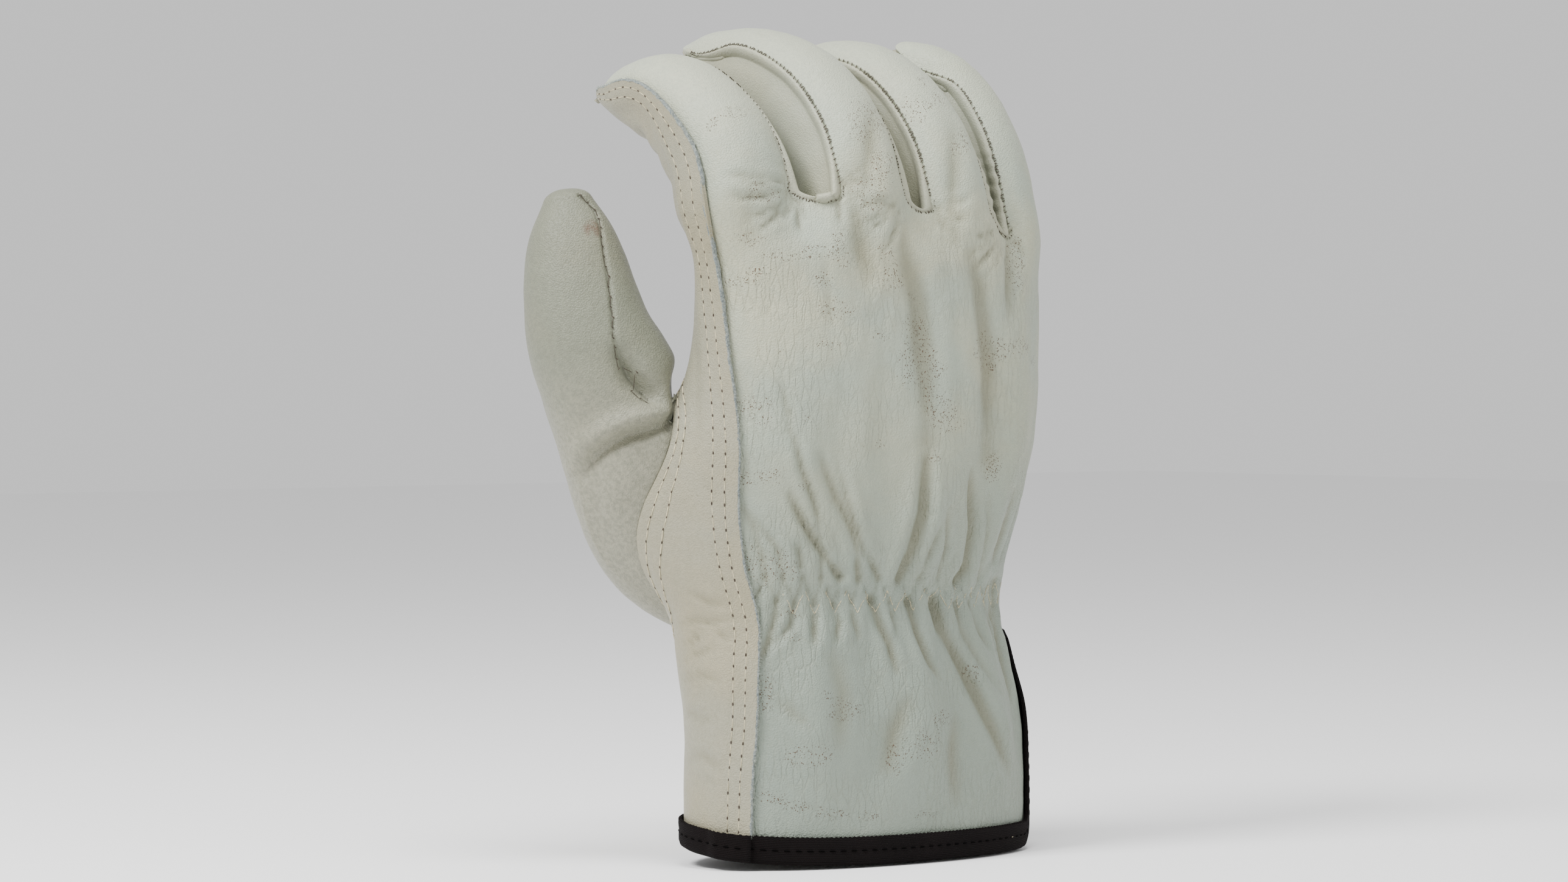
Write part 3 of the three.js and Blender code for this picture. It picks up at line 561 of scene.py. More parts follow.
def palmStrip(name, column, run):
    spec = fingers[name]
    radial, ulnar = palmEdges(name, spec, run)
    turn = mix(*lapTurn, run)
    first, last = palmOwners[name]
    if name == "index":
        if column < 2:
            return fingerPoint(spec, run, radial + turn * column, -lapLift(column))
        first, radial = 1, radial + turn
    return fingerPoint(spec, run, fingerSpread(spec, run, radial, ulnar)((column - first) / (last - first)))


def hungArc(left, right, drop, t):
    point = left.lerp(right, (1 - math.cos(math.pi * t)) / 2)
    point.z -= drop * math.sin(math.pi * t)
    return point


print("form ready")

# Shared making of pieces

weld = 2e-5
panelCut = {"hide": 1.1, "stripHide": 0.9, "levels": 2, "sideRoom": 0.2, "holeRoom": 0.6, "edgeRoom": 0.25,
            "turnedFrom": 0.054,
            "fingerRows": (0, 0.06, 0.12, 0.185, 0.25, 0.315, 0.38, 0.445, 0.51, 0.575, 0.64,
                           0.7, 0.76, 0.81, 0.86, 0.9, 0.935, 0.97, 1),
            "bridgeRows": (-1, -0.667, -0.333, 0)}
# cross-section of a turned edge: out past the edge and down, in millimetres
turnedEdge = ((0.35, 0.14), (0.6, 0.5), (0.65, 1.2), (0.4, 1.9), (0.1, 2.4))


def layPatch(bm, columns, rows, place, keep=None, mark=None):
    # a grid whose points are moved to their places by column and row
    across, up = len(columns) - 1, len(rows) - 1
    centre = Matrix.Translation((across / 2, up / 2, 0)) @ Matrix.Diagonal((across, up, 1, 1))
    made = bmesh.ops.create_grid(bm, x_segments=across, y_segments=up, size=0.5, matrix=centre)
    spare = []
    for vert in made["verts"]:
        column, row = columns[round(vert.co.x)], rows[round(vert.co.y)]
        if keep and not keep(column, row):
            spare.append(vert)
            continue
        if mark:
            mark(vert, column, row)
        vert.co = place(column, row) * mm
    bmesh.ops.delete(bm, geom=spare, context="VERTS")


def joinUp(bm, towards):
    # merges the patches and turns every face away from the inside
    bmesh.ops.remove_doubles(bm, verts=bm.verts, dist=weld)
    bmesh.ops.recalc_face_normals(bm, faces=bm.faces)
    score = 0
    for face in bm.faces:
        middle = face.calc_center_median()
        score += face.normal.dot(middle - towards(middle)) * face.calc_area()
    if score < 0:
        bmesh.ops.reverse_faces(bm, faces=bm.faces)


def turnEdges(bm, wanted, profile, room):
    # rolls the open edges of a panel over and under, along the given profile
    bm.normal_update()
    edges = [edge for edge in bm.edges if edge.is_boundary and wanted(edge)]
    outward = {}
    for edge in edges:
        face = edge.link_faces[0]
        run = (edge.verts[1].co - edge.verts[0].co).normalized()
        way = run.cross(face.normal).normalized()
        if way.dot((edge.verts[0].co + edge.verts[1].co) / 2 - face.calc_center_median()) < 0:
            way.negate()
        for vert in edge.verts:
            outward[vert] = outward.get(vert, Vector()) + way
    start = {vert: (vert.co.copy(), outward[vert].normalized(), vert.normal.copy(), vert[room])
             for vert in outward}
    for away, down in profile:
        made = bmesh.ops.extrude_edge_only(bm, edges=edges)
        fresh = [part for part in made["geom"] if isinstance(part, bmesh.types.BMVert)]
        edges = [part for part in made["geom"] if isinstance(part, bmesh.types.BMEdge)]
        following = {}
        for vert in fresh:
            origin = next(edge.other_vert(vert) for edge in vert.link_edges
                          if edge.other_vert(vert) in start)
            place, way, normal, space = start[origin]
            vert.co = place + (way * away * space - normal * down) * mm
            following[vert] = start[origin]
        edges = [edge for edge in edges if all(vert in following for vert in edge.verts)]
        start = following


def furnished(mesh, name, materials):
    for material in materials:
        mesh.materials.append(material)
    return addObject(name, mesh)


def makeObject(bm, name, materials):
    mesh = bpy.data.meshes.new(name)
    bm.to_mesh(mesh)
    bm.free()
    return furnished(mesh, name, materials)


def settle(piece):
    # applies the modifiers of a piece
    graph = bpy.context.evaluated_depsgraph_get()
    mesh = bpy.data.meshes.new_from_object(piece.evaluated_get(graph))
    old = piece.data
    piece.modifiers.clear()
    piece.data = mesh
    bpy.data.meshes.remove(old)
    mesh.name = piece.name


def smoothed(piece, levels):
    subdivision = piece.modifiers.new("rounding", "SUBSURF")
    subdivision.levels = levels
    subdivision.render_levels = levels
    settle(piece)
    piece.data.polygons.foreach_set("use_smooth", [True] * len(piece.data.polygons))


def sculpt(piece, shape, lifts=None):
    # moves each point along its normal by what shape gives in millimetres, and by its own lift
    mesh = piece.data
    normals = [Vector(normal.vector) for normal in mesh.vertex_normals]
    for number, (vert, normal) in enumerate(zip(mesh.vertices, normals)):
        lift = shape(vert.co / mm) + (lifts[number] if lifts else 0)
        if lift:
            vert.co += normal * lift * mm
    mesh.update()


def thicken(piece, thickness):
    bm = bmesh.new()
    bm.from_mesh(piece.data)
    for edge in bm.edges:
        if edge.is_boundary:
            edge.smooth = False
    bm.to_mesh(piece.data)
    bm.free()
    wall = piece.modifiers.new("hide", "SOLIDIFY")
    wall.thickness = thickness * mm
    wall.offset = -1
    wall.use_even_offset = False


def surfaceOf(piece):
    graph = bpy.context.evaluated_depsgraph_get()
    return BVHTree.FromObject(piece.evaluated_get(graph), graph)


def take(piece, slotName, *nodes):
    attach(piece, "root")
    if nodes:
        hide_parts(*nodes)


fingersFrom = 0.14
knuckleHeight = 150


def spine(z):
    # middle of the glove at a height, for telling inside from outside
    s = sectionAt(min(z, knuckleHeight))
    return Vector((s["x"], s["y"], z))


def handInside(middle):
    # the hand's own middle, or the point itself on the fingers
    if middle.z > fingersFrom:
        return middle
    return spine(middle.z / mm) * mm


# Panels of the hand and fingers

def panelNet(plan):
    bm = bmesh.new()
    room = bm.verts.layers.float.new("room")
    lap = bm.verts.layers.int.new("lap")
    rim = bm.verts.layers.int.new("holeRim")
    owners, handAt, strip, columns = plan["owners"], plan["hand"], plan["strip"], plan["columns"]

    def fromHole(column, row):
        return max(abs(column - hole["column"]), abs(row - hole["row"])) - hole["half"] if plan["hole"] else 1

    def markHand(vert, column, row):
        vert[lap] = column <= 0
        vert[rim] = fromHole(column, row) == 0
        vert[room] = panelCut["holeRoom" if vert[rim] else "sideRoom"]

    layPatch(bm, columns, netRows, handAt, keep=lambda column, row: fromHole(column, row) >= 0, mark=markHand)

    def onFinger(name):
        def place(column, row):
            if row < 0:
                return between(handAt(column, lastRow - 1), handAt(column, lastRow),
                               strip(name, column, 0), strip(name, column, firstRun), 1 + row)
            return strip(name, column, row)
        return place

    for name in fingerNames:
        first, end = owners[name]

        def markFinger(vert, column, row):
            vert[lap] = column <= 0
            narrowing = mix(1, 0.3, ease((row - 0.66) / 0.22))
            vert[room] = panelCut["edgeRoom"] if column == columns[-1] else narrowing
        layPatch(bm, range(first, end + 1), panelCut["bridgeRows"][:-1] + panelCut["fingerRows"],
                 onFinger(name), mark=markFinger)
    for number, drop in enumerate(crotches):
        left, right = fingerNames[number], fingerNames[number + 1]
        first, end = owners[left][1], owners[right][0]
        leftAt, rightAt = onFinger(left), onFinger(right)

        def inCrotch(column, row):
            if column == first:
                return leftAt(column, row)
            if column == end:
                return rightAt(column, row)
            rimPoint = hungArc(strip(left, first, 0), strip(right, end, 0), drop[plan["side"]],
                               (column - first) / (end - first))
            if row == 0:
                return rimPoint
            start = handAt(column, lastRow)
            return between(handAt(column, lastRow - 1), start, rimPoint, rimPoint * 2 - start, 1 + row)

        def markCrotch(vert, column, row):
            vert[room] = 1
        layPatch(bm, range(first, end + 1), panelCut["bridgeRows"], inCrotch, mark=markCrotch)
    joinUp(bm, handInside)

    def turned(edge):
        # not the lapped edge and the bound hem
        if all(vert[lap] for vert in edge.verts):
            return False
        if all(vert[rim] for vert in edge.verts):
            return True
        return min(vert.co.z for vert in edge.verts) > panelCut["turnedFrom"]
    turnEdges(bm, turned, turnedEdge, room)
    return bm


# Creases: lines as the photo's view shows them, across and up in millimetres

photoRight = Vector((math.cos(photoView["azimuth"] * deg), math.sin(photoView["azimuth"] * deg), 0))
photoZero = (-18.2, 104.3)    # the view's middle, across and up


def seenAt(across, height, surface):
    # the spot of a surface that the photo's view has at a place
    target = Vector(photoView["target"])
    back = viewBack(photoView["azimuth"], photoView["elevation"])
    eye = target + back * photoView["distance"]
    aim = target + photoRight * (across - photoZero[0]) * mm + Vector((0, 0, height - photoZero[1])) * mm
    return surface.ray_cast(eye, (aim - eye).normalized())[0]


traceStep = 0.8


def evenLine(points, step):
    # points at even steps along a line
    lengths = [0]
    for a, b in zip(points, points[1:]):
        lengths.append(lengths[-1] + (b - a).length)
    placed = []
    count = max(1, round(lengths[-1] / step))
    i = 0
    for number in range(count + 1):
        want = lengths[-1] * number / count
        while i < len(points) - 2 and lengths[i + 1] < want:
            i += 1
        span = lengths[i + 1] - lengths[i]
        placed.append(points[i].lerp(points[i + 1], min(1, (want - lengths[i]) / span if span else 0)))
    return placed


def flatLine(table):
    return evenLine([Vector((*places, 0)) for places in table], traceStep)


def lineSeen(table, surface):
    hits = [seenAt(spot.x, spot.y, surface) for spot in flatLine(table)]
    return [hit for hit in hits if hit]


def nearTo(points):
    tree = KDTree(len(points))
    for number, point in enumerate(points):
        tree.insert(point, number)
    tree.balance()
    return tree


# each valley: its places, depth, width, and how full it is at its first and last place
wristCreases = (
    ([(-29.6, 89), (-26, 82), (-23.6, 74), (-23, 69.4)], 0.8, 1.1, 0, 1),
    ([(-20, 63.7), (-20.6, 58), (-23, 51), (-25, 47)], 1.1, 1.0, 1, 0.3),
    ([(-27.5, 87), (-19.6, 76), (-18.3, 69.2)], 0.8, 1.0, 0, 1),
    ([(-15.3, 63), (-16.4, 57.5), (-19.5, 54), (-23, 50.5)], 0.9, 1.0, 1, 0.2),
    ([(-17.5, 92), (-13.4, 84), (-10.4, 79), (-6.8, 73.8), (-3.8, 69.4)], 1.6, 1.1, 0, 1),
    ([(-9.4, 102), (-4.4, 89), (-0.8, 81.5), (0.8, 76), (1.1, 69.2)], 1.4, 1.2, 0, 1),
    ([(-18, 111), (-15.2, 104), (-13.4, 97), (-10.4, 89), (-8.8, 79), (-8.5, 69.2)], 1.0, 1.0, 0, 1),
    ([(-5.6, 101), (-0.2, 84), (2.8, 75.7), (6.2, 69.2)], 1.2, 1.1, 0, 1),
    ([(18.6, 104), (17.6, 86), (14.7, 76), (11.5, 69.4)], 1.8, 1.7, 0, 1),
    ([(22.6, 84), (19, 75), (16.4, 69.2)], 1.0, 1.0, 0, 1),
    ([(30, 99), (29.8, 82), (28.5, 73), (26, 68.8)], 1.8, 1.8, 0, 1),
    ([(24, 88), (23.4, 77), (21, 69)], 0.9, 1.1, 0, 1),
    ([(34, 92), (33.6, 80), (31.6, 69)], 1.0, 1.4, 0, 1),
    ([(-15, 80), (-13.8, 74), (-13.4, 69)], 0.8, 0.9, 0, 1),
    ([(-10.4, 63), (-10.2, 57.5), (-10.4, 51)], 0.9, 1.0, 1, 0),
    ([(-5.4, 62.5), (-4, 57.5), (-5, 52)], 0.8, 0.9, 1, 0),
    ([(-0.8, 63.5), (-0.2, 59), (1.5, 53)], 0.8, 1.0, 1, 0),
    ([(4, 64), (6.3, 57.7), (8.7, 53), (11.2, 44)], 1.4, 1.1, 1, 0),
    ([(8.7, 64), (10, 57.7), (11, 51)], 0.8, 1.0, 1, 0),
    ([(13.5, 63.5), (16, 55.4), (19, 48), (22, 43)], 1.5, 1.2, 1, 0),
    ([(20, 63), (22, 56.6), (26.7, 48), (31.5, 38.6), (36.2, 29), (40, 19)], 1.8, 1.9, 1, 0),
    ([(25.5, 63), (27, 56), (31.5, 48), (37, 40)], 1.2, 1.4, 1, 0),
    ([(29, 63), (31.5, 56), (36, 49)], 0.8, 1.2, 1, 0),
    ([(14, 40), (10, 30), (8, 18)], 0.8, 2.8, 0, 0),
    ([(26, 36), (25, 24), (26, 10)], 0.8, 3.2, 0, 0),
    ([(-6, 52), (-3, 40), (-4, 24)], 0.6, 3.0, 0, 0),
    ([(-21, 39), (-15, 34), (-9, 30.5)], 0.5, 1.6, 0, 0),
)
# the elastic's zigzag stitches, each leg pulled into the leather
zigzag = (
    (-25.6, 64), (-23, 69.2), (-20, 63.5), (-18.3, 69.2), (-15.3, 63), (-13.4, 69), (-10.4, 63), (-8.5, 69),
    (-5.4, 62.7), (-3.8, 69.2), (-0.8, 63.4), (1.1, 69), (4, 63.8), (6.2, 69), (8.7, 63.8), (11.5, 69.2),
    (13.5, 63.4), (16.4, 69), (19.8, 63), (21, 68.8), (24.6, 63), (26, 68.6), (28.6, 63.2), (31.4, 68.6),
    (33.6, 63.4))
zigzagFold = (0.85, 0.75)
backValleys = (
    ([(-1.6, 170), (0.6, 161), (2.4, 152), (5.5, 143)], 1.2, 3.2, 0.7, 0),
    ([(10.6, 163), (13, 152), (16.4, 139), (18, 121), (18.6, 104)], 1.3, 3.6, 0.5, 0.4),
    ([(29, 158), (32, 143), (34, 125), (34, 100)], 1.3, 3.4, 0, 0.4),
    ([(39, 158), (39.4, 148), (39, 132)], 1.1, 2.6, 0.8, 0),
    ([(-7.2, 157), (-7.4, 146), (-5.6, 132)], 0.35, 0.9, 0, 0),
    ([(-19.4, 120), (-15.3, 107)], 0.5, 1.0, 0, 0.4),
    ([(5, 190), (4, 180), (2.4, 170), (0, 160)], 0.9, 2.6, 0, 0),
    ([(25, 186), (25.5, 174), (24.6, 163), (26, 150)], 0.8, 2.4, 0, 0),
    ([(19.8, 163.6), (22, 160), (25, 156)], 0.9, 0.9, 1, 0),
    ([(-24, 176), (-26.5, 166), (-27, 152)], 0.5, 2.8, 0, 0),
)
# fans of fine creases: corner, first and last way in degrees, how many, reach, depth
fanWidth = 0.85
creaseFans = (
    ((-13.4, 168.6), 158, 262, 10, (8, 20), 1.0), ((-4.4, 169.4), -88, 42, 8, (7, 15), 0.9),
    ((11.4, 164.8), 175, 262, 7, (5, 14), 1.0), ((19.6, 164), -80, 20, 6, (5, 12), 0.95),
    ((38.6, 159), 196, 300, 6, (5, 13), 0.9),
)
lapCreases = (
    ([(-45, 57), (-41, 58.6), (-37, 58), (-31.4, 58.6)], 0.6, 0.8, 0.3, 0.3),
    ([(-44, 51), (-40.5, 54), (-38, 58)], 0.55, 0.8, 0.2, 0.6),
    ([(-44.5, 48), (-40, 50), (-35.5, 52)], 0.5, 0.8, 0.2, 0),
    ([(-37, 58), (-34, 54.5), (-31.5, 53)], 0.5, 0.7, 0.5, 0),
    ([(-43, 66), (-37, 63), (-32, 62.5)], 0.45, 0.9, 0, 0),
    ([(-45, 43), (-39, 44.5), (-34, 43)], 0.45, 0.9, 0, 0),
    ([(-44, 36), (-39, 33), (-35, 34)], 0.4, 1.0, 0, 0), ([(-44, 22), (-39, 24), (-34, 20)], 0.4, 1.2, 0, 0),
)
# patches of brown pores: place and half sizes
freckles = (
    (-30, 145, 5, 1.6), (-24, 147.5, 4, 1.3), (-17, 151.5, 8, 1.3), (-10, 153, 4, 1.5), (-2.5, 151.5, 3.6, 3),
    (-27, 156, 4, 1.6), (-4.6, 156, 1.5, 1.5), (-31, 188, 5, 1.8), (-37, 185, 2, 2), (4, 167, 4.5, 5),
    (3, 186, 6, 6), (7, 175, 3, 3), (14.5, 187.5, 3.4, 2.4), (8, 153, 3, 2), (10, 146, 3.4, 4),
    (15, 132, 4, 6), (19, 123, 4, 5), (14, 122, 4, 4), (22, 112, 5, 5), (-8, 145.6, 3, 2), (-5, 138, 5, 3.4),
    (6, 131, 2.6, 2), (-26, 114, 5, 2), (-24, 110, 4, 1.6), (-27, 95, 6, 2), (-20, 95, 2, 2),
    (-13, 92.6, 2, 1), (-22, 72, 8, 5),
    (-16.5, 54, 3, 1.6), (-24, 40, 4, 6), (-3, 35, 5, 3), (-12, 24, 8, 3), (22, 34, 3, 3), (10, 24, 3, 5),
    (18, 26, 4, 4), (35, 97, 3, 4), (20, 100, 2, 2), (30, 45, 2.4, 3), (-30, 70, 3, 9), (41, 150, 3, 8),
    (-12, 110, 2, 1), (27, 180, 3, 4), (33, 128, 3, 6),
    (-22, 13.5, 4, 1.5), (-15, 11, 5, 1.6), (-6, 9, 5, 1.6), (3, 8.6, 3, 1.4), (18, 9, 4, 1.2))
hiddenPitch = 7
hiddenFrom = (133, 160)
lineShares = [i / 24 for i in range(25)]


# a crease's cross-section and its fading ends, for a depth and a width of one
creaseForm = {"reach": 4.5, "fade": 0.4, "round": 0.8, "sharp": 1.5, "sink": 1.25, "swell": 0.5,
              "swellAt": 2.4, "swellWide": 1.3}


def addCrease(creases, points, depth, width, first, last):
    if len(points) < 2:
        return
    reach = width * creaseForm["reach"]
    creases.append({
        "tree": nearTo(points), "last": len(points) - 1, "depth": depth, "width": width,
        "ends": (first, last),
        "low": [min(p[k] for p in points) / mm - reach for k in range(3)],
        "high": [max(p[k] for p in points) / mm + reach for k in range(3)]})


def creaseLift(creases, point):
    # how far the creases near a point sink it, with a soft swell on both sides
    form, fade = creaseForm, creaseForm["fade"]
    sunk = swell = 0
    for crease in creases:
        if any(not low < value < high for low, value, high in zip(crease["low"], point, crease["high"])):
            continue
        spot, number, away = crease["tree"].find(point * mm)
        share = number / crease["last"]
        first, last = crease["ends"]
        full = max(first * (1 - ease(share / fade)), math.sin(math.pi * share) ** form["round"],
                   last * ease((share - (1 - fade)) / fade))
        across = away / mm / crease["width"]
        sunk = max(sunk, crease["depth"] * full * math.exp(-across ** form["sharp"]))
        beside = math.exp(-((across - form["swellAt"]) / form["swellWide"]) ** 2)
        swell = max(swell, crease["depth"] * full * form["swell"] * beside)
    return swell - sunk * form["sink"]


def seenCreases(creases, table, surface):
    for places, depth, width, first, last in table:
        addCrease(creases, lineSeen(places, surface), depth, width, first, last)


def fanCreases(creases, surface):
    for corner, start, end, count, reach, depth in creaseFans:
        for i in range(count):
            way = (mix(start, end, i / (count - 1)) + random.uniform(-5, 5)) * deg
            bend = random.uniform(-0.35, 0.35)
            length = random.uniform(*reach)
            places = [(corner[0] + math.cos(way + bend * t) * (1.6 + length * t),
                       corner[1] + math.sin(way + bend * t) * (1.6 + length * t)) for t in (0, 0.35, 0.7, 1)]
            addCrease(creases, lineSeen(places, surface), depth * random.uniform(0.6, 1.2), fanWidth, 1, 0)


def hiddenCreases(creases):
    # the same gathers where the photo's view doesn't reach, towards the little finger
    angle, end = hiddenFrom
    while angle < end:
        up, down = random.uniform(12, 42), random.uniform(10, 34)
        for tip, way in ((wristHeight + up, 1), (wristHeight - down, -1)):
            lean = random.uniform(-4, 4)
            points = [handPoint(mix(wristHeight - 3 * way, tip, t), angle + lean * t) * mm
                      for t in lineShares]
            addCrease(creases, points, random.uniform(0.8, 1.7), random.uniform(1, 1.9), 1, 0)
        angle += hiddenPitch * random.uniform(0.8, 1.2)


# creases of the palm side: angle round the hand and height
palmLines = (
    ([(-58, 143), (-70, 122), (-78, 100), (-72, 78)], 1.1, 2.4),
    ([(-58, 150), (-90, 146), (-124, 142), (-152, 146)], 0.9, 2.2),
    ([(-70, 138), (-104, 131), (-142, 121)], 0.9, 2.2),
    ([(-52, 63), (-90, 60), (-130, 64), (-160, 62)], 1.0, 1.9),
    ([(-60, 70), (-100, 73), (-146, 69)], 0.8, 1.8), ([(-70, 53), (-110, 51), (-150, 55)], 0.6, 1.8),
    ([(-100, 116), (-112, 98), (-116, 80)], 0.7, 2.4), ([(-140, 112), (-146, 96), (-142, 82)], 0.7, 2.0),
    ([(-84, 40), (-96, 28), (-92, 12)], 0.8, 3.2), ([(-128, 44), (-134, 30), (-130, 12)], 0.8, 3.0),
    ([(-54, 42), (-58, 28), (-55, 12)], 0.6, 2.8))
bendLines = {"runs": (0.2, 0.42, 0.63), "from": 218, "to": 322, "depth": 0.8, "width": 1.6}
smallLines = {"count": 34, "angles": (-150, -50), "heights": (14, 148), "length": (7, 20),
              "depth": (0.2, 0.45), "width": (0.8, 1.4)}


def palmSideCreases(creases):
    def onHand(table):
        return [handPoint(min(148, spot.y), spot.x) * mm for spot in flatLine(table)]
    for places, depth, width in palmLines:
        addCrease(creases, onHand(places), depth, width, 0, 0)
    for _ in range(smallLines["count"]):
        angle, z = random.uniform(*smallLines["angles"]), random.uniform(*smallLines["heights"])
        way, length = random.uniform(-0.7, 0.7), random.uniform(*smallLines["length"])
        end = (angle + math.cos(way) * length * 1.3, z + math.sin(way) * length)
        addCrease(creases, onHand(((angle, z), end)), random.uniform(*smallLines["depth"]),
                  random.uniform(*smallLines["width"]), 0, 0)
    for spec in fingers.values():
        for run in bendLines["runs"]:
            lean = random.uniform(-0.02, 0.02)
            points = [fingerPoint(spec, run + lean * t, mix(bendLines["from"], bendLines["to"], t)) * mm
                      for t in lineShares]
            depth = bendLines["depth"] * random.uniform(0.6, 1.2)
            addCrease(creases, points, depth, bendLines["width"], 0, 0)


def angleOn(point):
    # angle of a point on the hand's section, the inverse of handPoint
    s = sectionAt(min(max(point.z, 0), 169))
    across = -(point.x - s["x"]) / s["half"]
    depth = s["back"] if point.y < s["y"] else s["palm"]
    away = -(point.y - s["y"]) / depth
    c = math.copysign(abs(across) ** (s["square"] / 2), across)
    return math.atan2(math.copysign(abs(away) ** (s["square"] / 2), away), c) / deg


def softNoise(point, scale):
    return noise.noise(point * (1 / scale))


gathers = {"puff": 0.35, "pitch": 7.4, "reach": 5.5, "from": 40, "to": 162, "fade": 8, "lean": 1.8,
           "stray": 1.5}


def gatherRise(point):
    # small puffs between the elastic's stitches
    off = (point.z - wristHeight) / gathers["reach"]
    if abs(off) > 3:
        return 0
    angle = angleOn(point)
    if angle < gathers["from"] or angle > gathers["to"]:
        return 0
    fade = gathers["fade"]
    gathered = ease((angle - gathers["from"]) / fade) * ease((gathers["to"] - angle) / fade)
    slant = angle + off * gathers["lean"] + gathers["stray"] * softNoise(point, 11)
    wave = math.cos(2 * math.pi * slant / gathers["pitch"])
    return gathered * gathers["puff"] * wave * off * off * 1.9 * math.exp(-off * off)


# unevenness of the leather: how high, and over what distance
uneven = {"broad": (0.3, 17), "small": (0.16, 6), "palm": (0.25, 9), "back": (0.08, 0.2, 3),
          "wornFrom": (66, 14), "wornTo": (162, 20)}


def softUneven(point):
    (high, broad), (low, small) = uneven["broad"], uneven["small"]
    return high * softNoise(point, broad) + low * softNoise(point + Vector((9, 3, 1)), small)


def longNoise(point, squash, scale):
    return softNoise(Vector((point.x, point.y, point.z * squash)), scale)


def backShape(point):
    (low, rise), (high, fall), (quiet, lively, scale) = uneven["wornFrom"], uneven["wornTo"], uneven["back"]
    worn = ease((point.z - low) / rise) * ease((high - point.z) / fall)
    return gatherRise(point) + softUneven(point) + mix(quiet, lively, worn) * longNoise(point, 0.3, scale)


def palmShape(point):
    high, scale = uneven["palm"]
    return softUneven(point) + high * longNoise(point, 0.4, scale)


def liftsOf(piece, creases):
    return [creaseLift(creases, vert.co / mm) for vert in piece.data.vertices]


def mark(piece, name, values):
    # keeps a value at each point of a piece for its material
    layer = piece.data.attributes.new(name, "FLOAT", "POINT")
    layer.data.foreach_set("value", values)


def hollowShadeMask(lifts, full):
    # 1 where the leather sinks as deep as full: the mask of the painted shade in the hollows
    return [min(1, max(0, -lift / full)) for lift in lifts]


def nearness(point, middle, spread):
    off = (point - middle).length / spread
    return math.exp(-off * off) if off < 2.5 else 0


# Materials

def linear(red, green, blue):
    # an sRGB colour as the linear values that the shaders take
    def one(value):
        c = value / 255
        return c / 12.92 if c <= 0.04045 else ((c + 0.055) / 1.055) ** 2.4
    return (one(red), one(green), one(blue), 1)


def startGroup(name, inputs, outputs):
    group = bpy.data.node_groups.new(name, "ShaderNodeTree")
    for label, kind in inputs:
        group.interface.new_socket(label, in_out="INPUT", socket_type=kind)
    for label, kind in outputs:
        group.interface.new_socket(label, in_out="OUTPUT", socket_type=kind)
    begin = group.nodes.new("NodeGroupInput")
    finish = group.nodes.new("NodeGroupOutput")
    return group, begin, finish


def feed(tree, source, target):
    # links a socket, or sets a constant
    if isinstance(source, bpy.types.NodeSocket):
        tree.links.new(source, target)
    else:
        target.default_value = source


def maths(tree, operation, *values):
    node = tree.nodes.new("ShaderNodeMath")
    node.operation = operation
    for value, socket in zip(values, node.inputs):
        feed(tree, value, socket)
    return node.outputs[0]


def times(tree, first, second):
    return maths(tree, "MULTIPLY", first, second)


def ranged(tree, value, low, high, outLow=0, outHigh=1):
    node = tree.nodes.new("ShaderNodeMapRange")
    node.interpolation_type = "SMOOTHSTEP"
    for number, setting in enumerate((value, low, high, outLow, outHigh)):
        feed(tree, setting, node.inputs[number])
    return node.outputs[0]


def noiseOf(tree, vector, scale, detail=2, roughness=0.5, distortion=0):
    node = tree.nodes.new("ShaderNodeTexNoise")
    feed(tree, vector, node.inputs["Vector"])
    node.inputs["Scale"].default_value = scale
    node.inputs["Detail"].default_value = detail
    node.inputs["Roughness"].default_value = roughness
    node.inputs["Distortion"].default_value = distortion
    return node.outputs[0]


def cellsOf(tree, vector, scale, feature="F1"):
    node = tree.nodes.new("ShaderNodeTexVoronoi")
    node.feature = feature
    feed(tree, vector, node.inputs["Vector"])
    node.inputs["Scale"].default_value = scale
    return node.outputs["Distance"]


def stretched(tree, vector, scale):
    node = tree.nodes.new("ShaderNodeMapping")
    feed(tree, vector, node.inputs["Vector"])
    node.inputs["Scale"].default_value = scale
    return node.outputs[0]


def blend(tree, share, first, second, way="MIX"):
    node = tree.nodes.new("ShaderNodeMix")
    node.data_type = "RGBA"
    node.blend_type = way
    feed(tree, share, node.inputs[0])
    feed(tree, first, node.inputs[6])
    feed(tree, second, node.inputs[7])
    return node.outputs[2]


def objectAt(tree):
    return tree.nodes.new("ShaderNodeTexCoord").outputs["Object"]


def axesOf(tree, vector):
    node = tree.nodes.new("ShaderNodeSeparateXYZ")
    feed(tree, vector, node.inputs[0])
    return node.outputs


# scales of the leather's textures, for coordinates in metres
grainCut = {"pebble": 2300, "fine": 4300, "crease": 560, "warp": 240, "warpBy": 0.0022, "worn": 48,
            "pore": 2300, "ragged": 260, "patch": 45, "tone": 22, "mottle": 900, "odd": 1300}


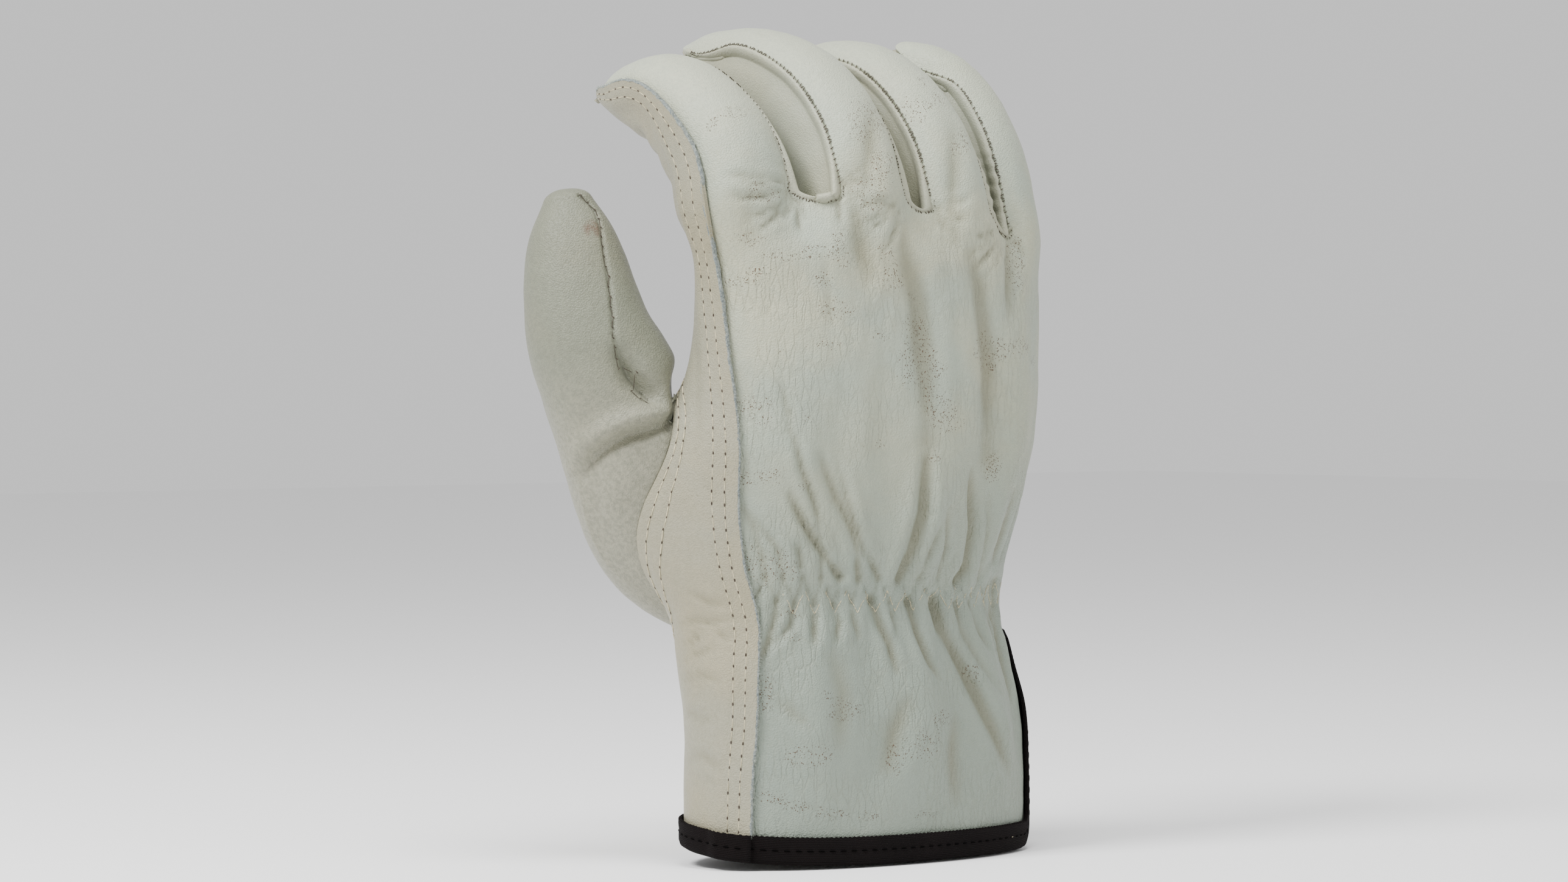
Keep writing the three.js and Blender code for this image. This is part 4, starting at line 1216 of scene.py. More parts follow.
def makeGrain():
    # height, tone and pore specks of grain leather, from object coordinates
    number, vector = "NodeSocketFloat", "NodeSocketVector"
    group, begin, finish = startGroup(
        "hideGrain", [("Vector", vector), ("Freckle", number), ("Creasing", number)],
        [(label, number) for label in ("Height", "Tone", "Specks", "Mottle", "Crease")])
    at = begin.outputs["Vector"]
    pebble = ranged(group, cellsOf(group, at, grainCut["pebble"]), 0.1, 0.8)
    fine = noiseOf(group, at, grainCut["fine"], 2)
    warp = group.nodes.new("ShaderNodeVectorMath")
    warp.operation = "MULTIPLY_ADD"
    feed(group, noiseOf(group, at, grainCut["warp"], 2), warp.inputs[0])
    warp.inputs[1].default_value = (grainCut["warpBy"],) * 3
    feed(group, at, warp.inputs[2])
    # long cells, whose edges are the fine creases
    cells = stretched(group, warp.outputs[0], (1, 1, 0.24))
    net = cellsOf(group, cells, grainCut["crease"], "DISTANCE_TO_EDGE")
    worn = ranged(group, noiseOf(group, at, grainCut["worn"], 3), 0.38, 0.6)
    furrow = times(group, times(group, ranged(group, net, 0, 0.15, 1, 0), worn), begin.outputs["Creasing"])
    height = maths(group, "MULTIPLY_ADD", pebble, -0.5, times(group, fine, 0.5))
    feed(group, maths(group, "MULTIPLY_ADD", furrow, -0.95, height), finish.inputs["Height"])
    feed(group, furrow, finish.inputs["Crease"])
    feed(group, noiseOf(group, at, grainCut["tone"], 4, 0.6, 0.4), finish.inputs["Tone"])
    feed(group, noiseOf(group, at, grainCut["mottle"], 3, 0.6), finish.inputs["Mottle"])
    # pores open in patches, and each has its own size
    pores = cellsOf(group, at, grainCut["pore"])
    ragged = noiseOf(group, at, grainCut["ragged"], 3, 0.6)
    broad = noiseOf(group, stretched(group, at, (0.6, 0.6, 1)), grainCut["patch"], 4, 0.6)
    patch = times(group, ranged(group, broad, 0.62, 0.72), 0.75)
    patch = maths(group, "ADD", patch, begin.outputs["Freckle"])
    patch = ranged(group, maths(group, "ADD", patch, times(group, ragged, 1.3)), 0.9, 1.3)
    odd = ranged(group, noiseOf(group, at, grainCut["odd"], 1), 0.35, 0.7, 0.3, 1.25)
    reach = times(group, maths(group, "MULTIPLY_ADD", patch, 0.24, 0.08), odd)
    dot = ranged(group, maths(group, "SUBTRACT", reach, pores), -0.05, 0.05)
    feed(group, times(group, dot, ranged(group, patch, 0.05, 0.3)), finish.inputs["Specks"])
    return group


grain = makeGrain()


def startMaterial(name):
    material = bpy.data.materials.new(name)
    material.use_nodes = True
    tree = material.node_tree
    shader = tree.nodes["Principled BSDF"]
    return material, tree, shader


def bumpOf(tree, height, distance):
    node = tree.nodes.new("ShaderNodeBump")
    node.inputs["Distance"].default_value = distance
    feed(tree, height, node.inputs["Height"])
    return node.outputs[0]


# hollow and furrow: strengths of the painted shade in the sunk hollows and along the grain's fine creases
hideCut = {"cloud": 9, "dirt": 160, "ragged": 420, "creasedTo": (0.148, 0.176), "gloss": 0.34, "fuzz": 0.5,
           "furrow": 0.13, "hollow": 0.6, "stain": 0.8}


def makeHide(name, look):
    material, tree, shader = startMaterial(name)
    at = objectAt(tree)
    height = axesOf(tree, at)[2]

    def kept(label):
        layer = tree.nodes.new("ShaderNodeAttribute")
        layer.attribute_name = label
        return layer.outputs["Fac"]

    hideNodes = tree.nodes.new("ShaderNodeGroup")
    hideNodes.node_tree = grain
    feed(tree, at, hideNodes.inputs["Vector"])
    feed(tree, kept("freckle") if look["freckle"] else 0.0, hideNodes.inputs["Freckle"])
    # the fingers are creased less than the hand
    creasing = ranged(tree, height, *hideCut["creasedTo"], look["creasing"], look["creasing"] * 0.2)
    feed(tree, creasing, hideNodes.inputs["Creasing"])
    tone, specks = hideNodes.outputs["Tone"], hideNodes.outputs["Specks"]
    colour = blend(tree, ranged(tree, tone, 0.36, 0.66), look["cool"], look["warm"])

    def over(share, strength, tint):
        # the colour so far, with a tint where share is full
        return blend(tree, times(tree, share, strength), colour, tint)

    cloud = ranged(tree, noiseOf(tree, at, hideCut["cloud"], 3), 0.42, 0.68)
    colour = over(cloud, look["cloud"], look["deep"])
    if look["low"]:
        # the colour changes with height: on the back the lower part is painted greyer and darker as shade,
        # and the top lighter as painted light; on the thumb the lower part is lighter and the top darker
        for band, ends in ((look["low"], (1, 0)), (look["high"], (0, 1))):
            share = ranged(tree, height, band["from"], band["to"], *ends)
            colour = over(share, band["share"], band["colour"])
    dirt = ranged(tree, noiseOf(tree, at, hideCut["dirt"], 5, 0.7), 0.56, 0.78, 0, look["dirt"])
    colour = blend(tree, dirt, colour, look["soilAndShade"])
    mottle = ranged(tree, hideNodes.outputs["Mottle"], 0.35, 0.68, 0, look["mottle"])
    colour = blend(tree, mottle, colour, look["deep"])
    # painted shade along the grain's fine creases
    colour = over(hideNodes.outputs["Crease"], hideCut["furrow"], look["soilAndShade"])
    # painted shade in the sunk hollows, from the hollow mask
    colour = over(kept("hollow"), hideCut["hollow"], look["soilAndShade"])
    colour = over(specks, look["specks"], look["pore"])
    if look["stain"]:
        spot = tree.nodes.new("ShaderNodeVectorMath")
        spot.operation = "DISTANCE"
        feed(tree, at, spot.inputs[0])
        spot.inputs[1].default_value = look["stain"]["at"]
        near = ranged(tree, spot.outputs["Value"], look["stain"]["core"], look["stain"]["edge"], 1, 0)
        ragged = ranged(tree, noiseOf(tree, at, hideCut["ragged"], 4, 0.65), 0.36, 0.6)
        colour = over(times(tree, near, ragged), hideCut["stain"], look["stain"]["colour"])
    feed(tree, colour, shader.inputs["Base Color"])
    feed(tree, maths(tree, "MULTIPLY_ADD", tone, 0.16, look["rough"]), shader.inputs["Roughness"])
    shader.inputs["Specular IOR Level"].default_value = hideCut["gloss"]
    shader.inputs["Sheen Weight"].default_value = look["sheen"]
    shader.inputs["Sheen Roughness"].default_value = hideCut["fuzz"]
    relief = maths(tree, "MULTIPLY_ADD", specks, -0.8, hideNodes.outputs["Height"])
    feed(tree, bumpOf(tree, relief, look["bump"]), shader.inputs["Normal"])
    return material


backLook = {"cool": linear(157, 166, 151), "warm": linear(170, 170, 146), "deep": linear(139, 147, 133),
            # soilAndShade: colour of the random dirt, and also of the painted shade in the creases and
            # hollows
            "cloud": 0.45, "dirt": 0.12, "soilAndShade": linear(112, 108, 84), "specks": 0.92, "mottle": 0.22,
            # low and high: painted shade on the lower back and painted light on the tops of the fingers
            "low": {"from": 0.05, "to": 0.14, "share": 0.9, "colour": linear(126, 136, 125)},
            "high": {"from": 0.168, "to": 0.2, "share": 0.8, "colour": linear(174, 178, 158)},
            "pore": linear(82, 56, 36), "rough": 0.38, "sheen": 0.05, "bump": 0.00017, "freckle": True,
            "creasing": 0.8, "stain": None}
palmLook = dict(backLook, cool=linear(148, 146, 127), warm=linear(151, 144, 119), deep=linear(131, 128, 108),
                dirt=0.24, specks=0.2, low=None, freckle=False, bump=0.00019, mottle=0.35, creasing=0.12)
thumbLook = dict(palmLook, cool=linear(119, 122, 105), warm=linear(126, 125, 105), deep=linear(104, 106, 91),
                 bump=0.00017, mottle=0.5, creasing=0.08,
                 low={"from": 0.098, "to": 0.132, "share": 0.9, "colour": linear(146, 144, 126)},
                 high={"from": 0.14, "to": 0.16, "share": 0.3, "colour": linear(112, 112, 96)})
stripLook = dict(backLook, cool=linear(159, 162, 144), warm=linear(161, 160, 138), deep=linear(139, 141, 124),
                 specks=0, low=None, freckle=False, bump=0.00011, creasing=0.1)


def makeThread(name, colour, roughness=0.75, gloss=0.4):
    material, tree, shader = startMaterial(name)
    shade = ranged(tree, noiseOf(tree, objectAt(tree), 900, 2), 0.3, 0.7, 0.75, 1.15)
    feed(tree, blend(tree, 1.0, colour, shade, "MULTIPLY"), shader.inputs["Base Color"])
    shader.inputs["Roughness"].default_value = roughness
    shader.inputs["Specular IOR Level"].default_value = gloss
    return material


tapeWeave = {"rib": 0.44, "weft": 0.5, "relief": 0.00016, "roughness": 0.9, "gloss": 0.12}


def makeTape():
    material, tree, shader = startMaterial("bindingTape")
    weave = tree.nodes.new("ShaderNodeUVMap")
    weave.uv_map = "tapeRun"
    along, across, _ = axesOf(tree, weave.outputs[0])

    def wave(run, pitch):
        return maths(tree, "SINE", times(tree, run, 2 * math.pi / pitch))
    # fine ribs along the tape, broken up by the weft
    weft = times(tree, wave(along, tapeWeave["weft"]), wave(across, 2 * tapeWeave["rib"]))
    woven = maths(tree, "MULTIPLY_ADD", weft, 0.35, wave(across, tapeWeave["rib"]))
    at = objectAt(tree)
    height = maths(tree, "MULTIPLY_ADD", noiseOf(tree, at, 2600, 3), 0.8, woven)
    colour = blend(tree, ranged(tree, noiseOf(tree, at, 60, 3), 0.35, 0.7), linear(9, 5, 5), linear(15, 9, 9))
    colour = blend(tree, ranged(tree, woven, 0.2, 1.2, 0, 0.5), colour, linear(26, 17, 16))
    feed(tree, colour, shader.inputs["Base Color"])
    shader.inputs["Roughness"].default_value = tapeWeave["roughness"]
    shader.inputs["Specular IOR Level"].default_value = tapeWeave["gloss"]
    feed(tree, bumpOf(tree, height, tapeWeave["relief"]), shader.inputs["Normal"])
    return material


def makeRawEdge():
    material, tree, shader = startMaterial("rawEdge")
    at = objectAt(tree)
    tone = ranged(tree, noiseOf(tree, at, 1500, 4, 0.75), 0.38, 0.62)
    feed(tree, blend(tree, tone, linear(98, 107, 108), linear(148, 154, 149)), shader.inputs["Base Color"])
    shader.inputs["Roughness"].default_value = 0.95
    fibres = noiseOf(tree, stretched(tree, at, (1, 1, 0.3)), 3400, 3, 0.7)
    feed(tree, bumpOf(tree, fibres, 0.0003), shader.inputs["Normal"])
    return material


backHide = makeHide("backHide", backLook)
palmHide = makeHide("palmHide", palmLook)
stripHide = makeHide("stripHide", stripLook)
rawEdge = makeRawEdge()
# dark thread, also used for the dark beads at the stitch holes and the dark strand along the thumb's seam
# groove, both painted shade
darkThreadAndShade = makeThread("darkThreadAndShade", linear(62, 52, 42))
creamThread = makeThread("creamThread", linear(184, 175, 146))
tapeSewing = makeThread("tapeSewing", linear(4, 3, 3), 0.95, 0.05)
tapeCloth = makeTape()
paleFibre = makeThread("paleFibre", linear(168, 174, 164), 0.9)
print("materials ready")


# Back and palm panels

palmTrim = {"at": (-56.5, 188), "depth": 2.4, "spread": 13, "rim": 9}
backPlan = {"columns": range(-1, 34), "owners": backOwners, "hand": backHand, "strip": backStrip,
            "side": "back", "hole": False}
palmPlan = {"columns": range(31), "owners": palmOwners, "hand": palmHand, "strip": palmStrip,
            "side": "palm", "hole": True}


def lapLine(distance):
    # a line along the lap, so far from the palm's edge
    column = distance / palmLow[1][1]
    line = [palmHand(column, row) for row in netRows]
    return line + [palmStrip("index", column, i / 40) for i in range(3, 39)]


def makePanel(name, plan, materials):
    piece = makeObject(panelNet(plan), name, materials)
    smoothed(piece, panelCut["levels"])
    print(name, "laid out,", len(piece.data.vertices), "points")
    return piece


backPiece = makePanel("backPanel", backPlan, [backHide, rawEdge])
palmPiece = makePanel("palmPanel", palmPlan, [palmHide, rawEdge])
backPlain, palmPlain = surfaceOf(backPiece), surfaceOf(palmPiece)
trimPalm = seenAt(*palmTrim["at"], palmPlain) / mm
lapTree = nearTo(lapLine(0))


def trimmed(piece, lifts):
    # the underside of the index finger drawn in, on both leathers of the lap
    for number, vert in enumerate(piece.data.vertices):
        point = vert.co / mm
        near = nearness(point, trimPalm, palmTrim["spread"])
        if near:
            lifts[number] -= palmTrim["depth"] * near * ease(lapTree.find(point)[2] / palmTrim["rim"])
    return lifts


backCreases = []
seenCreases(backCreases, wristCreases, backPlain)
seenCreases(backCreases, backValleys, backPlain)
fanCreases(backCreases, backPlain)
for places in zip(zigzag, zigzag[1:]):
    addCrease(backCreases, lineSeen(places, backPlain), *zigzagFold, 0.8, 0.8)
hiddenCreases(backCreases)
frecklePlaces = [(seenAt(x, z, backPlain), wide, high) for x, z, wide, high in freckles]
frecklePlaces = [(spot / mm, wide, high) for spot, wide, high in frecklePlaces if spot]


def freckleAt(point):
    total = 0
    for spot, wide, high in frecklePlaces:
        away = point - spot
        across = away.x * photoRight.x + away.y * photoRight.y
        if abs(across) < 2 * wide and abs(away.z) < 2 * high and away.length < 3 * max(wide, high):
            total += math.exp(-((across / wide) ** 2) - (away.z / high) ** 2)
    return min(1, total)


backLifts = liftsOf(backPiece, backCreases)
# the hollow mask paints shade into the back's colour where its creases sink
mark(backPiece, "hollow", hollowShadeMask(backLifts, 1.0))
mark(backPiece, "freckle", [freckleAt(vert.co / mm) for vert in backPiece.data.vertices])
sculpt(backPiece, backShape, trimmed(backPiece, backLifts))

palmCreases = []
seenCreases(palmCreases, lapCreases, palmPlain)
palmSideCreases(palmCreases)
palmLifts = liftsOf(palmPiece, palmCreases)
# the hollow mask paints shade into the palm's colour where its creases sink
mark(palmPiece, "hollow", hollowShadeMask(palmLifts, 0.8))
sculpt(palmPiece, palmShape, trimmed(palmPiece, palmLifts))
tipMeet = {"at": Vector((-41.8, 43, 193.4)), "spread": 4, "draw": 0.55}


def drawnTogether(piece, way):
    # the two leathers meet at the index fingertip
    for vert in piece.data.vertices:
        vert.co.z += way * tipMeet["draw"] * mm * nearness(vert.co / mm, tipMeet["at"], tipMeet["spread"])


drawnTogether(backPiece, -1)
drawnTogether(palmPiece, 1)
print("panels shaped,", len(backCreases) + len(palmCreases), "creases")


# Thumb: hidden flange, rise out of the hole, stations and domed tip

thumbCut = {"around": 64, "far": 1.2, "near": 0.965, "sunk": 2.7,
            "rises": (0, 0.05, 0.11, 0.18, 0.26, 0.35, 0.45, 0.55, 0.66, 0.78, 0.89),
            "stations": (121, 124, 127.5, 131, 134.5, 138, 141.5, 145, 148.5, 152, 155.5, 158.5, 161.5, 164,
                         166),
            "dome": ((0.93, 0.3), (0.8, 0.56), (0.62, 0.77), (0.42, 0.91), (0.2, 0.98))}
thumbLift = ({"out": 0.55, "aside": 1, "up": 0.5}, {"out": 0.3, "aside": 0.25, "up": 0.9})
thumbSide = Vector((math.cos(thumbTurn * deg), -math.sin(thumbTurn * deg), 0))


def thumbPoint(height, angle):
    s = rowAt(thumb, "z", height)
    far, near = rowAt(thumb, "z", min(thumb[-1]["z"], height + 1)), rowAt(thumb, "z", height - 1)
    ahead = (placeOf(far) - placeOf(near)).normalized()
    side = (thumbSide - ahead * thumbSide.dot(ahead)).normalized()
    point = placeOf(s) + side * s["across"] * superCos(angle, thumbSquare)
    return point + side.cross(ahead) * s["through"] * superSin(angle, thumbSquare), ahead


def ringCell(step):
    # a place on the square edge of the hole, in net cells from its middle
    half = hole["half"]
    quarter, rest = divmod((step % 1) * 4, 1)
    run = rest * 2 * half
    return ((-half + run, -half), (half, -half + run), (half - run, half), (-half, half - run))[int(quarter)]


def roundHole(cell, size, inset=0):
    # a place round the hole of the palm, at a size of it
    return handPoint(*palmSpot(hole["column"] + cell[0] * size, hole["row"] + cell[1] * size), -inset)


def thumbNet():
    bm = bmesh.new()
    near, sunk = thumbCut["near"], thumbCut["sunk"]
    lines = [("base", thumbCut["far"], sunk), ("base", 1.06, sunk - 0.2), ("base", near + 0.01, sunk - 0.5),
             ("base", near + 0.025, 1.3), ("base", near + 0.018, 0.55)]
    lines += [("rise", t, 0) for t in thumbCut["rises"]]
    lines += [("station", z, 0) for z in thumbCut["stations"]]
    lines += [("dome", share, up) for share, up in thumbCut["dome"]]
    end = thumb[-1]
    tipMiddle = placeOf(end)

    def place(column, row):
        cell = ringCell(column / thumbCut["around"])
        angle = math.atan2(-cell[0], cell[1]) / deg
        kind, first, second = lines[row]
        if kind == "base":
            return roundHole(cell, first, second)
        if kind == "station":
            return thumbPoint(first, angle)[0]
        if kind == "dome":
            point, ahead = thumbPoint(end["z"], angle)
            return tipMiddle.lerp(point, first) + ahead * second * thumbTip
        start = roundHole(cell, near)
        goal, ahead = thumbPoint(thumb[0]["z"], angle)
        chord = (goal - start).length
        outward = start - roundHole(cell, near, 1)
        top = (1 + cell[1] / hole["half"]) / 2
        out, aside, up = (mix(thumbLift[0][k], thumbLift[1][k], top) for k in ("out", "aside", "up"))
        leave = outward * out - thumbSide * aside + Vector((0, 0, up))
        h0, h1, h2, h3 = bends(first)
        return start * h0 + leave * chord * h1 + goal * h2 + ahead * chord * h3

    layPatch(bm, range(thumbCut["around"] + 1), range(len(lines)), place)
    bmesh.ops.remove_doubles(bm, verts=bm.verts, dist=weld)
    ahead = thumbPoint(end["z"], 0)[1]
    tip = (tipMiddle + ahead * thumbTip) * mm
    last = [edge for edge in bm.edges if edge.is_boundary
            and all((vert.co - tip).length < 0.004 for vert in edge.verts)]
    bmesh.ops.holes_fill(bm, edges=last, sides=0)
    bmesh.ops.poke(bm, faces=[face for face in bm.faces if len(face.verts) > 4])
    joinUp(bm, lambda middle: Vector((-0.058, 0.024, min(max(middle.z, 0.095), 0.16))))
    return bm


# lines on the thumb as the photo's view shows them: across and up in millimetres
thumbSeam = ((-70.2, 167), (-67.8, 165.2), (-66, 162.8), (-65, 159.6), (-64.4, 155.4), (-63.6, 150.6),
             (-62.8, 146), (-62.2, 140.8), (-61.8, 135.8), (-61.4, 130.8), (-59.6, 125.8), (-56.8, 120.8),
             (-54, 117.2), (-51.8, 114.8))
thumbStain = (-67, 158.4)
thumbHollow = ((-59.5, 125.5), (-56.5, 120), (-53, 116.8), (-49.5, 114.4))
thumbCrease = ((-44.6, 111.2), (-47.4, 108.6), (-52.8, 107), (-57.8, 105.6), (-62.8, 103.2), (-66.4, 100.4),
               (-69.6, 96.2))

thumbPiece = makeObject(thumbNet(), "thumb", [])
smoothed(thumbPiece, panelCut["levels"])
thumbPlain = surfaceOf(thumbPiece)
thumbLook["stain"] = {"at": seenAt(*thumbStain, thumbPlain), "core": 0.0008, "edge": 0.0034,
                      "colour": linear(92, 66, 52)}
thumbPiece.data.materials.append(makeHide("thumbHide", thumbLook))
thumbLines = {name: lineSeen(table, thumbPlain)
              for name, table in (("seam", thumbSeam), ("hollow", thumbHollow), ("crease", thumbCrease))}
thumbTrees = {name: nearTo(points) for name, points in thumbLines.items()}
thumbFold = {"seam": (0.85, 0.6), "hollow": (4.2, 2.8), "crease": (2.7, 1.7), "swell": (2.1, 3.9, 2.6)}
thumbTrim = {"at": (-61, 74), "depth": 1.0, "spread": 15, "rim": 11}
trimSpot = seenAt(*thumbTrim["at"], thumbPlain) / mm
rimTree = nearTo([roundHole(ringCell(step / 160), 1) for step in range(160)])


def thumbShape(point):
    lift = softUneven(point) * 0.9
    near = nearness(point, trimSpot, thumbTrim["spread"])
    if near:
        lift -= thumbTrim["depth"] * near * ease(rimTree.find(point)[2] / thumbTrim["rim"])
    for name in ("seam", "hollow", "crease"):
        spot, number, _ = thumbTrees[name].find(point * mm)
        away = (point - spot / mm).length
        depth, width = thumbFold[name]
        share = number / (len(thumbLines[name]) - 1)
        fade = 1 if name == "seam" else math.sin(math.pi * mix(0.12, 0.94, share)) ** 0.6
        lift -= depth * fade * math.exp(-((away / width) ** 2))
        if name == "crease" and point.z > spot.z / mm:
            rise, middle, spread = thumbFold["swell"]
            lift += rise * fade * math.exp(-(((away - middle) / spread) ** 2))
    return lift


sculpt(thumbPiece, thumbShape)
print("thumb shaped,", len(thumbPiece.data.vertices), "points")


# Fourchettes: a rolled edge on each side and a sunk strip between

stripCut = {"edge": ((-0.6, 1.8), (0.4, 1.25), (0.75, -0.3), (1.7, -0.6), (2.8, 0.2), (3.3, 1.8)),
            "welt": ((-0.6, 1.8), (0.5, 0.9), (0.75, -1.7), (2.0, -2.7), (3.3, -1.5), (3.7, 1.2)),
            "middle": (0.2, 0.35, 0.5, 0.65, 0.8), "bulge": 1.2, "weltRun": (0.3, 0.14), "fullWidth": 10,
            "pleat": (0.24, 3.4), "pleatFrom": (161, 4), "pleatTo": (183, 6), "pleatFront": (6, 5),
            "runs": (0, 0.06, 0.12, 0.185, 0.25, 0.315, 0.38, 0.445, 0.51, 0.575, 0.64,
                     0.7, 0.76, 0.81, 0.86, 0.9, 0.94), "crotchSteps": 8}


def stripNet(number):
    bm = bmesh.new()
    left, right = fingerNames[number], fingerNames[number + 1]
    drops = crotches[number]
    lines = [(left, run) for run in reversed(stripCut["runs"])]
    lines += [("crotch", step / stripCut["crotchSteps"]) for step in range(1, stripCut["crotchSteps"])]
    lines += [(right, run) for run in stripCut["runs"]]
    known = {}

    def across(name, run):
        key = (name, run)
        if key not in known:
            spec = fingers[name]
            onLeft = name == left
            back = backEdges(spec, run)[1 if onLeft else 0]
            palm = -edgeAngle(frontSeam, run) if onLeft else 180 + edgeAngle(frontSeam, run)
            points = [fingerPoint(spec, run, mix(back, palm, i / 16)) for i in range(17)]
            width = sum((b - a).length for a, b in zip(points, points[1:]))
            known[key] = (spec, back, palm, width, fingerSpread(spec, run, back, palm, 16))
        return known[key]

    def edgePlace(name, run, spot):
        spec, back, palm, width, spread = across(name, run)
        squeeze = min(1, width / stripCut["fullWidth"])
        side, value, depth, weltValue, weltDepth = spot
        low = 1 - ease(run / stripCut["weltRun"][0 if name == left else 1])
        if side == "back":
            value, depth = mix(value, weltValue, low), mix(depth, weltDepth, low)
        if side == "middle":
            share = value
            sunk = (recess - stripCut["bulge"] * math.sin(math.pi * share)) * squeeze
        else:
            share = value * squeeze / width
            sunk = depth * mix(0.6, 1, squeeze)
            if side == "palm":
                share = 1 - share
        angle = spread(share) if 0 <= share <= 1 else mix(back, palm, share)
        return fingerPoint(spec, run, angle, sunk), share, sunk

    spots = [("back", *edge, *welt) for edge, welt in zip(stripCut["edge"], stripCut["welt"])]
    spots += [("middle", share, 0, share, 0) for share in stripCut["middle"]]
    spots += [("palm", *edge, *edge) for edge in reversed(stripCut["edge"])]

    def place(column, row):
        name, value = lines[row]
        if name != "crotch":
            return edgePlace(name, value, spots[column])[0]
        return crotchPlace(value, spots[column])

    def crotchPlace(t, spot):
        (a, share, sunk), (b, _, _) = (edgePlace(n, 0, spot) for n in (left, right))
        drop = mix(drops["back"], drops["palm"], min(1, max(0, share)))
        return hungArc(a, b, drop + sunk * 0.8, t)

    layPatch(bm, range(len(spots)), range(len(lines)), place)
    for side in ("back", "palm"):
        seam = []
        for name, value in lines:
            around = [(side, a, b, a, b) for a, b in ((0.35, 0.5), (0.35, -0.5), (1.35, 0.5))]
            corner = [crotchPlace(value, spot) if name == "crotch" else edgePlace(name, value, spot)[0]
                      for spot in around]
            seam.append(corner + [1 if name == "crotch" else 1 - ease(value / 0.08)])
        openingSeams.append(seam)
    bmesh.ops.recalc_face_normals(bm, faces=bm.faces)
    lowest = min(bm.faces, key=lambda face: face.calc_center_median().z)
    if lowest.normal.z < 0:
        bmesh.ops.reverse_faces(bm, faces=bm.faces)
    return bm


def pleats(point):
    # gathered folds at the bottom of the narrow opening
    height, pitch = stripCut["pleat"]
    (low, rise), (high, fall), (front, depth) = (stripCut[k] for k in ("pleatFrom", "pleatTo", "pleatFront"))
    near = ease((point.z - low) / rise) * ease((high - point.z) / fall) * ease((front - point.y) / depth)
    wave = math.cos(2 * math.pi * (point.z + 0.9 * softNoise(point, 7)) / pitch)
    return softUneven(point) + height * near * wave


openingSeams = []
stripPieces = []
stripNodes = ("fourchette_index_middle", "fourchette_middle_ring", "fourchette_ring_little")
for number, node in enumerate(stripNodes):
    stripPiece = makeObject(stripNet(number), node, [stripHide])
    smoothed(stripPiece, panelCut["levels"])
    sculpt(stripPiece, pleats if number == 2 else softUneven)
    stripPieces.append((stripPiece, node))
print("fourchettes shaped")


# Binding: folded tape round the hem and over the vent

tapeCut = {"seat": 0.5, "step": 0.1, "sideStep": 0.36, "scallop": 0.12, "pitch": 1.25, "sewn": 2.6}
# turn, drop and way of the spots over the vent's top
ventArch = ((-3, 1.4, -0.7, 0.7), (-1.5, 0.45, -0.4, 0.92), (0, 0, 0, 1), (1.5, 0.45, 0.4, 0.92),
            (3, 1.4, 0.7, 0.7))
turnPerMm = 2.3


def tapeSection(lift):
    # reach from the leather edge and height over the leather's outer face
    a, b = lift + tapeCut["seat"], -hide - tapeCut["seat"]
    middle = (a + b) / 2
    return ((5.8, a), (6.0, a + 0.5), (5.7, a + 0.95), (4.6, a + 1), (3.2, a + 0.85), (1.6, a + 0.9),
            (0.4, a + 0.9), (-0.6, a + 0.6), (-1.15, middle + 0.8), (-1.15, middle - 0.8),
            (-0.6, b - 0.6), (0.4, b - 0.9), (3, b - 0.9), (5.5, b - 0.95), (5.8, b - 0.5), (5.8, b),
            (3, b), (-0.3, b + 0.1), (-0.3, a - 0.1), (3, a))


def hemSpot(total, vent, fromVent, height, lift):
    d, h = rounded(fromVent, height)
    if d < ventCorner and h < ventCorner:
        into = Vector((ventCorner - d, ventCorner - h)).normalized()
    else:
        into = Vector((1, 0)) if h > 0 else Vector((0, 1))
    return {"lift": lift, "at": lambda reach, depth: cuffPoint(
        total, vent, d + into[0] * reach, h + into[1] * reach, -depth)}


def tapeSpots():
    def along(knots, last, liftOf):
        steps = round(last / tapeCut["step"])
        return [(knotted(knots, last * i / steps), liftOf(last * i / steps)) for i in range(steps + 1)]
    sideCount = round((ventTop - hemRise) / tapeCut["sideStep"])
    heights = [hemRise + (ventTop - hemRise) * i / sideCount for i in range(1, sideCount)]
    spots = []
    for total, vent, hem in ((backGirth, backVent, along(backLow, 33, lambda c: 0)),
                             (palmGirth, palmVent, along(palmLow, 30, lapLift))):
        edge = [hemSpot(total, vent, total - distance, 0, lift) for distance, lift in hem]
        edge += [hemSpot(total, vent, 0, z - hemRise, 0) for z in heights]
        spots.append(edge)
    seamAngle = (backVent(ventTop + 7) + palmVent(ventTop + 7) + 360) / 2

    def archSpot(turn, drop, side, up):
        return {"lift": 0, "at": lambda reach, depth: handPoint(
            ventTop - drop + up * reach, seamAngle + turn + side * reach * turnPerMm, -depth)}
    arch = [archSpot(*spot) for spot in ventArch]
    return spots[0][1:] + arch + spots[1][::-1]


